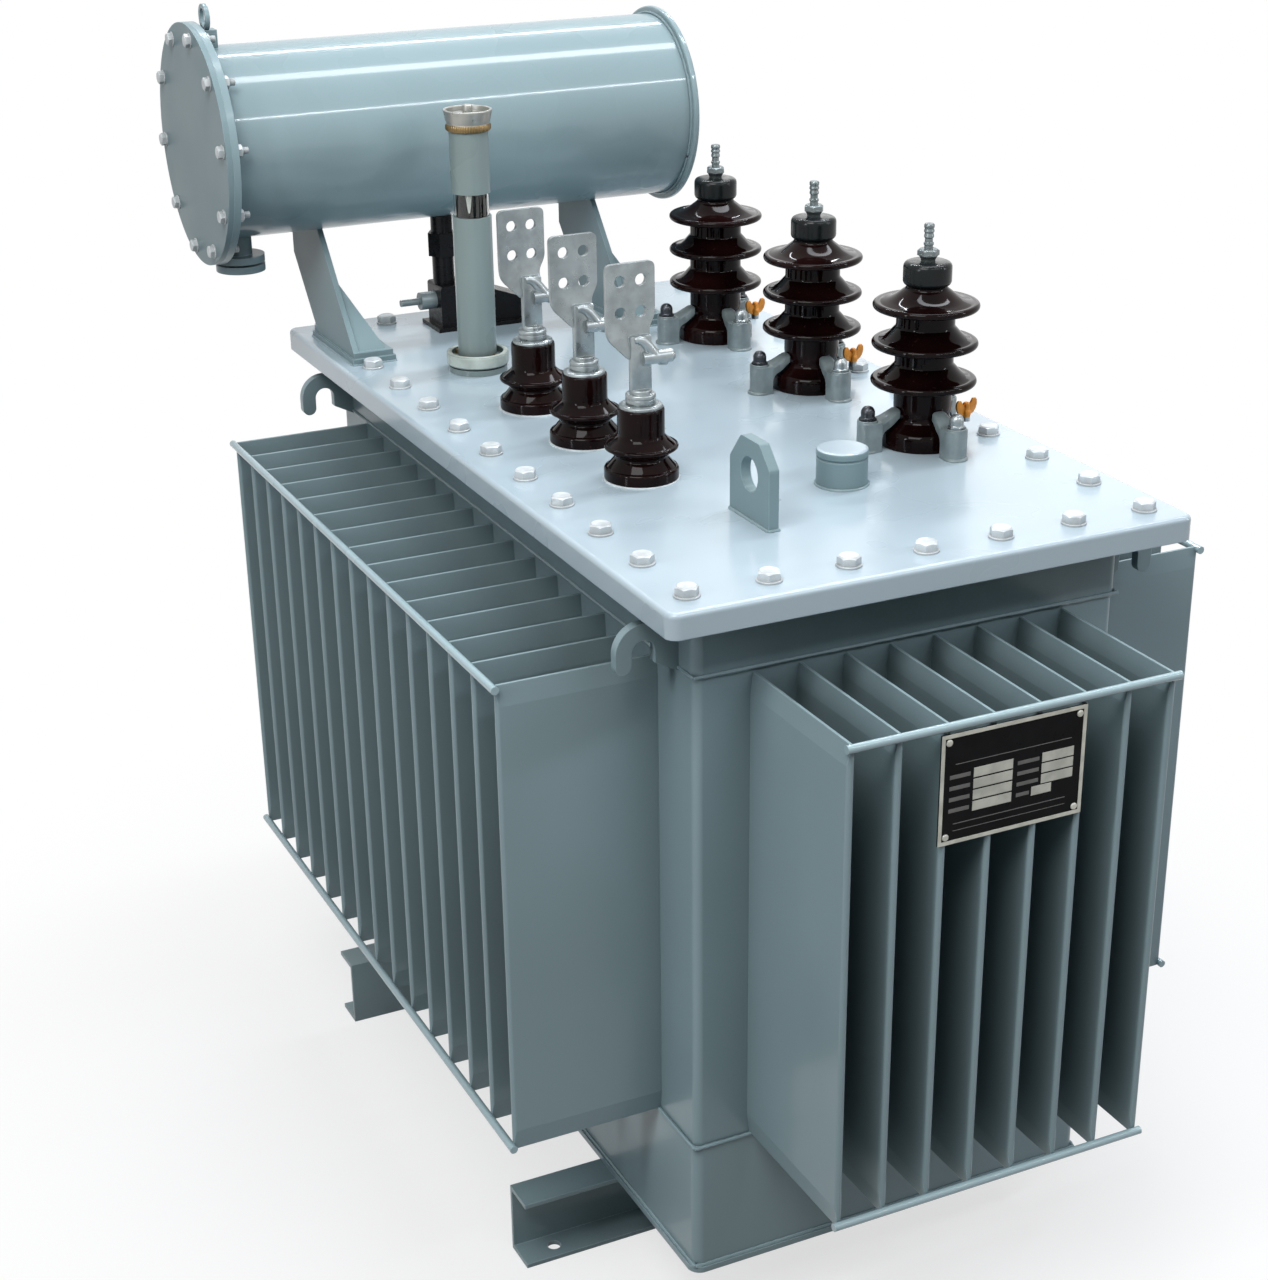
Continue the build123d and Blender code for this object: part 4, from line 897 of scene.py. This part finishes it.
bm = bmesh.new()
tank_lo, tank_hi = low("tank_body"), high("tank_body")
for height, radius, pitch in TANK_SEAMS:
    seam = around(tank_lo.x, tank_lo.y, tank_hi.x, tank_hi.y, height)
    bead(bm, seam, radius, pitch, closed=True)
lug_lo, lug_hi = low("lid_lifting_lug"), high("lid_lifting_lug")
bead(bm, around(lug_lo.x, lug_lo.y, lug_hi.x, lug_hi.y, lid_top + 0.8), 2.6, 4.0, closed=True)
for node in ("conservator_leg_left", "conservator_leg_right"):
    foot = [v.co for v in nodes[node].data.vertices if v.co.z / MM < lid_top + 2]
    xs, ys = [v.x for v in foot], [v.y for v in foot]
    seam = around(min(xs) / MM, min(ys) / MM, max(xs) / MM, max(ys) / MM, lid_top + 0.5)
    bead(bm, seam, 1.8, 4.0, closed=True)
bead(bm, circle(filler.x, filler.y, lid_top + 0.6, 32.0), 2.2, 4.0)
shell_x = high("conservator_shell").x
bead(bm, circle(shell_x - 0.5, AXIS_Y, AXIS_Z, 133.0, "x", 72), 2.4, 5.0)
bead(bm, circle(flange_x + 0.8, AXIS_Y, AXIS_Z, 132.2, "x", 72), 2.4, 5.0)
piece("weld_beads", bm, "tank_paint", tank_paint)

# ------------------------------------------------------------------- nameplate
# A blank form: a rim, empty fields, and plain bars and rules where headings would be.
RIM_EDGE, RIM_PROUD, BAR_PROUD, BEHIND = 4.6, 0.6, 0.25, 0.3
RIVET = [(0, -0.2), (4.2, -0.2), (4.2, 1.0, 0.5), (3.0, 2.2, 1), (0, 2.6)]
RIVET_INSET = 9.5
FIELD, STRIP = 1, 2

plate_lo, plate_hi = low("nameplate"), high("nameplate")
w0, w1, h0, h1 = plate_lo.x, plate_hi.x, plate_lo.z, plate_hi.z
plate_w = w1 - w0
plate_h = h1 - h0


def panel(bm, x0, x1, z0, z1, proud, tag=0):
    """A thin bar that stands proud of the plate's face."""
    block(bm, (x0, plate_lo.y - proud, z0), (x1, plate_lo.y + BEHIND, z1), tag=tag)


def column(first, last, upper, lower, step=0.0, rows=1):
    """Equal bars one below another, in shares of the plate from its upper left corner."""
    return [(first, last, upper + step * row, lower + step * row) for row in range(rows)]


fields = column(0.228, 0.497, 0.347, 0.434, 0.1015, 4)
fields += column(0.700, 0.922, 0.358, 0.443, 0.098, 3)
fields += column(0.636, 0.775, 0.650, 0.732)
strips = column(0.065, 0.205, 0.372, 0.408, 0.1015, 4)
strips += column(0.530, 0.680, 0.384, 0.418, 0.098, 3)
strips += column(0.530, 0.620, 0.678, 0.712)
strips += column(0.10, 0.88, 0.815, 0.822)
strips += column(0.10, 0.88, 0.880, 0.885)
strips += column(0.10, 0.90, 0.275, 0.281)

bm = bmesh.new()
for x0, x1, z0, z1 in (
    (w0, w1, h1 - RIM_EDGE, h1),
    (w0, w1, h0, h0 + RIM_EDGE),
    (w0, w0 + RIM_EDGE, h0 + RIM_EDGE, h1 - RIM_EDGE),
    (w1 - RIM_EDGE, w1, h0 + RIM_EDGE, h1 - RIM_EDGE),
):
    panel(bm, x0, x1, z0, z1, RIM_PROUD)
for group, tag in ((fields, FIELD), (strips, STRIP)):
    for first, last, upper, lower in group:
        panel(bm, w0 + first * plate_w, w0 + last * plate_w,
              h1 - lower * plate_h, h1 - upper * plate_h, BAR_PROUD, tag)
for x in (w0 + RIVET_INSET, w1 - RIVET_INSET):
    for z in (h0 + RIVET_INSET, h1 - RIVET_INSET):
        lathe(bm, soften(RIVET), place(x, plate_lo.y, z, "-y"), 24)
piece("nameplate_trim", bm, "plate_metal", bare_aluminium, blank_field, faint_strip)

# ----------------------------------------------------------------- level gauge
# Heights are above the lid.
GAUGE_BOLT_TURNS, GAUGE_CIRCLE, GAUGE_BOLT_Z = (35, 125, 215, 305), 31.5, 18.8
CUP = [(36, 18), (40, 11.2), (43.2, 11.6, 1), (43.6, 26.5, 2), (40, 28.2, 1.5), (36.4, 27.6, 1.5),
       (36, 19)]
GAUGE_HEAD = [(0, 341.5), (29.4, 341.5), (29.4, 343.5), (30.2, 345, 1), (33.2, 358, 1.5),
              (33.4, 360.4, 1.4), (29.4, 360.4, 1.4), (28.8, 353), (26, 351.6, 1), (6.8, 351.6),
              (6.4, 366, 1.6), (0, 367)]
VENT = [(0, 351.2), (4.6, 351.2), (4.6, 352.4), (0, 352.6)]
VENT_TURNS, VENT_CIRCLE = (75, 195, 315), 18
KNURL = ((331.6, 27.5), (332.6, 29.6), (334.6, 30.4), (339.4, 30.4), (341.6, 29.4), (341.8, 27))
TEETH, TOOTH, TOOTHED_FROM = 54, 0.55, 30
GLASS_INNER, GLASS_OUTER = 22.6, 24.5
CORE = 21.5
STEM_X, STEM_Y, STEM_FOOT, STEM_HEAD = 8.5, 14.5, 4.2, 6.2
GLASS_LAP, CORE_LAP = 1, 2

gauge = (low("gauge_tube") + high("gauge_tube")) / 2
at = place(gauge.x, gauge.y, lid_top)
bm = bmesh.new()
for turn in GAUGE_BOLT_TURNS:
    t = math.radians(turn)
    x, y = gauge.x + GAUGE_CIRCLE * math.cos(t), gauge.y + GAUGE_CIRCLE * math.sin(t)
    hex_head(bm, place(x, y, lid_top + GAUGE_BOLT_Z), 8.0, 7.0, crown=0.5)
piece("gauge_bolts", bm, "gauge_brass", ring_brass)
bm = bmesh.new()
lathe_ring(bm, soften(CUP), at, 64)
piece("gauge_cup", bm, "gauge_enamel", cup_enamel)

bm = bmesh.new()
lathe(bm, soften(GAUGE_HEAD), at, 64)
for turn in VENT_TURNS:
    t = math.radians(turn)
    x, y = gauge.x + VENT_CIRCLE * math.cos(t), gauge.y + VENT_CIRCLE * math.sin(t)
    lathe(bm, VENT, place(x, y, lid_top), 20, tag=1)
knurl = []
for z, r in KNURL:
    loop = []
    for t in angles(TEETH * 4):
        reach = r + (TOOTH * math.cos(TEETH * t) if r > TOOTHED_FROM else 0.0)
        loop.append(bm.verts.new(at @ Vector((reach * math.cos(t), reach * math.sin(t), z))))
    knurl.append(loop)
rings(bm, knurl, tag=2)
gauge_head = piece("gauge_head", bm, "gauge_brass", cap_metal, dark_fitting, ring_brass)
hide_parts("gauge_cap")

bm = bmesh.new()
glass_lo, glass_hi = low("gauge_glass").z - lid_top, high("gauge_glass").z - lid_top
lathe_ring(bm, [(GLASS_INNER, glass_lo - GLASS_LAP), (GLASS_OUTER, glass_lo - GLASS_LAP),
                (GLASS_OUTER, glass_hi + GLASS_LAP), (GLASS_INNER, glass_hi + GLASS_LAP)], at, 64)
window = piece("gauge_window", bm, "gauge_glass", clear_glass)
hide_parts("gauge_glass")
bm = bmesh.new()
core_lo, core_hi = glass_lo - CORE_LAP, glass_hi + CORE_LAP
lathe(bm, [(0, core_lo), (CORE, core_lo), (CORE, core_hi), (0, core_hi)], at, 48)
lathe(bm, [(0, core_lo), (STEM_FOOT, core_lo), (STEM_HEAD, core_hi), (0, core_hi)],
      place(gauge.x - STEM_X, gauge.y - STEM_Y, lid_top), 24, tag=1)
piece("gauge_core", bm, "gauge_enamel", black_inside, stem_enamel)

# ------------------------------------------------------------- floor and world
FLOOR_SIZE = 14.0
FLOOR_LIT, FLOOR_SEEN = (0.15, 0.156, 0.162), (0.94, 0.94, 0.94)
GLOW_NEAR, GLOW_FAR, GLOW_LEAST = 0.5, 1.5, 0.68
WORLD_LIGHT, WORLD_TINT = 0.04, (0.96, 0.98, 1.0, 1.0)
WHITE = (1, 1, 1, 1)


def seen_plainly(tree):
    """1 on camera, glossy and transmission rays, and 0 on the rays that light the object."""
    path = tree.nodes.new("ShaderNodeLightPath")
    found = path.outputs["Is Camera Ray"]
    for name in ("Is Glossy Ray", "Is Transmission Ray"):
        most = tree.nodes.new("ShaderNodeMath")
        most.operation = "MAXIMUM"
        tree.links.new(found, most.inputs[0])
        tree.links.new(path.outputs[name], most.inputs[1])
        found = most.outputs[0]
    return found


floor_mesh = bpy.data.meshes.new("floor")
bm = bmesh.new()
bmesh.ops.create_grid(bm, x_segments=8, y_segments=8, size=FLOOR_SIZE)
bm.to_mesh(floor_mesh)
bm.free()
floor = bpy.data.objects.new("floor", floor_mesh)
bpy.context.scene.collection.objects.link(floor)

# The floor looks white, more so away from the object, and keeps the object's shadow near it.
ground = Shader("floor_paint", Roughness=0.9)
seen = seen_plainly(ground.tree)
ground.color(ground.mix(seen, FLOOR_LIT, FLOOR_SEEN))
distance = ground.node("ShaderNodeVectorMath", operation="LENGTH")
ground.link(ground.coord, distance.inputs[0])
away = ground.span(distance.outputs["Value"], GLOW_NEAR, GLOW_FAR, GLOW_LEAST, 1.0)
glow = ground.node("ShaderNodeEmission")
glow.inputs["Color"].default_value = WHITE
glow.inputs["Strength"].default_value = 1.0
share = ground.node("ShaderNodeMath", operation="MULTIPLY")
ground.link(away, share.inputs[0])
ground.link(seen, share.inputs[1])
blend = ground.node("ShaderNodeMixShader")
ground.link(share.outputs[0], blend.inputs[0])
ground.link(ground.bsdf.outputs[0], blend.inputs[1])
ground.link(glow.outputs[0], blend.inputs[2])
ground.link(blend.outputs[0], ground.out.inputs["Surface"])
floor_mesh.materials.append(ground.material)

world = bpy.data.worlds.new("studio")
bpy.context.scene.world = world
world.use_nodes = True
tree = world.node_tree
tree.nodes.clear()
out = tree.nodes.new("ShaderNodeOutputWorld")
mixed = tree.nodes.new("ShaderNodeMixShader")
tree.links.new(seen_plainly(tree), mixed.inputs[0])
for socket, color, strength in ((1, WORLD_TINT, WORLD_LIGHT), (2, WHITE, 1.0)):
    background = tree.nodes.new("ShaderNodeBackground")
    background.inputs["Color"].default_value = color
    background.inputs["Strength"].default_value = strength
    tree.links.new(background.outputs[0], mixed.inputs[socket])
tree.links.new(mixed.outputs[0], out.inputs["Surface"])

# ----------------------------------------------------------------------- lamps
PLAIN, SKY = (1.0, 1.0, 1.0), (0.90, 0.94, 1.0)
# Name, place, target, size and power. The narrow ones draw the highlights of the paint.
LAMPS = (
    ("key", (-2.0, -1.8, 4.2), (0.0, 0.0, 0.7), (2.0, 2.0), 105, PLAIN),
    ("strip_over", (1.3, 0.3, 4.2), (1.3, 0.3, 0.0), (3.4, 0.45), 80, SKY),
    ("strip_far", (1.3, 3.0, 4.2), (1.3, 2.2, 1.0), (3.4, 0.14), 70, SKY),
    ("strip_near", (1.6, -3.4, 4.2), (0.8, 0.0, 1.2), (3.4, 0.12), 56, SKY),
    ("back_right", (3.9, 4.5, 2.5), (0.2, -0.2, 1.0), (2.6, 1.4), 9, PLAIN),
    ("glint_left", (-3.4, -1.2, 2.2), (0.1, 0.0, 1.2), (0.30, 1.4), 27, SKY),
    ("glint_right", (3.2, -2.2, 2.4), (0.2, 0.0, 1.2), (0.30, 1.4), 20, SKY),
)
for name, location, target, size, power, tint in LAMPS:
    data = bpy.data.lights.new(name, "AREA")
    data.shape = "RECTANGLE"
    data.size, data.size_y = size
    data.energy = power
    data.color = tint
    lamp = bpy.data.objects.new(name, data)
    bpy.context.scene.collection.objects.link(lamp)
    lamp.location = location
    aim = Vector(target) - Vector(location)
    lamp.rotation_euler = aim.to_track_quat("-Z", "Y").to_euler()

# ---------------------------------------------------------------------- camera
# Recovered from the photograph: its size and its principal point in pixels, and the angles.
PHOTO_WIDTH, PHOTO_HEIGHT = 1268, 1280
FOCAL, CENTRE_X, CENTRE_Y = 2318.64, 685.03, 717.82
YAW, PITCH, ROLL = (math.radians(a) for a in (26.508, 24.569, -0.266))
EYE = (-1.33101, -2.66562, 1.92090)
SENSOR = 36

forward = Vector((math.sin(YAW) * math.cos(PITCH), math.cos(YAW) * math.cos(PITCH),
                  -math.sin(PITCH)))
right = Vector((math.cos(YAW), -math.sin(YAW), 0))
up = right.cross(forward)
right_rolled = right * math.cos(ROLL) + up * math.sin(ROLL)
up_rolled = up * math.cos(ROLL) - right * math.sin(ROLL)
view = bpy.data.cameras.new("camera")
view.sensor_width = SENSOR
view.lens = FOCAL * SENSOR / PHOTO_HEIGHT
view.shift_x = (PHOTO_WIDTH / 2 - CENTRE_X) / PHOTO_HEIGHT
view.shift_y = (CENTRE_Y - PHOTO_HEIGHT / 2) / PHOTO_HEIGHT
view.clip_start = 0.05
view.clip_end = 100
camera = bpy.data.objects.new("camera", view)
bpy.context.scene.collection.objects.link(camera)
turn = Matrix((right_rolled, up_rolled, -forward)).transposed().to_4x4()
camera.matrix_world = Matrix.Translation(EYE) @ turn
bpy.context.scene.camera = camera
bpy.context.scene.view_settings.view_transform = "Standard"
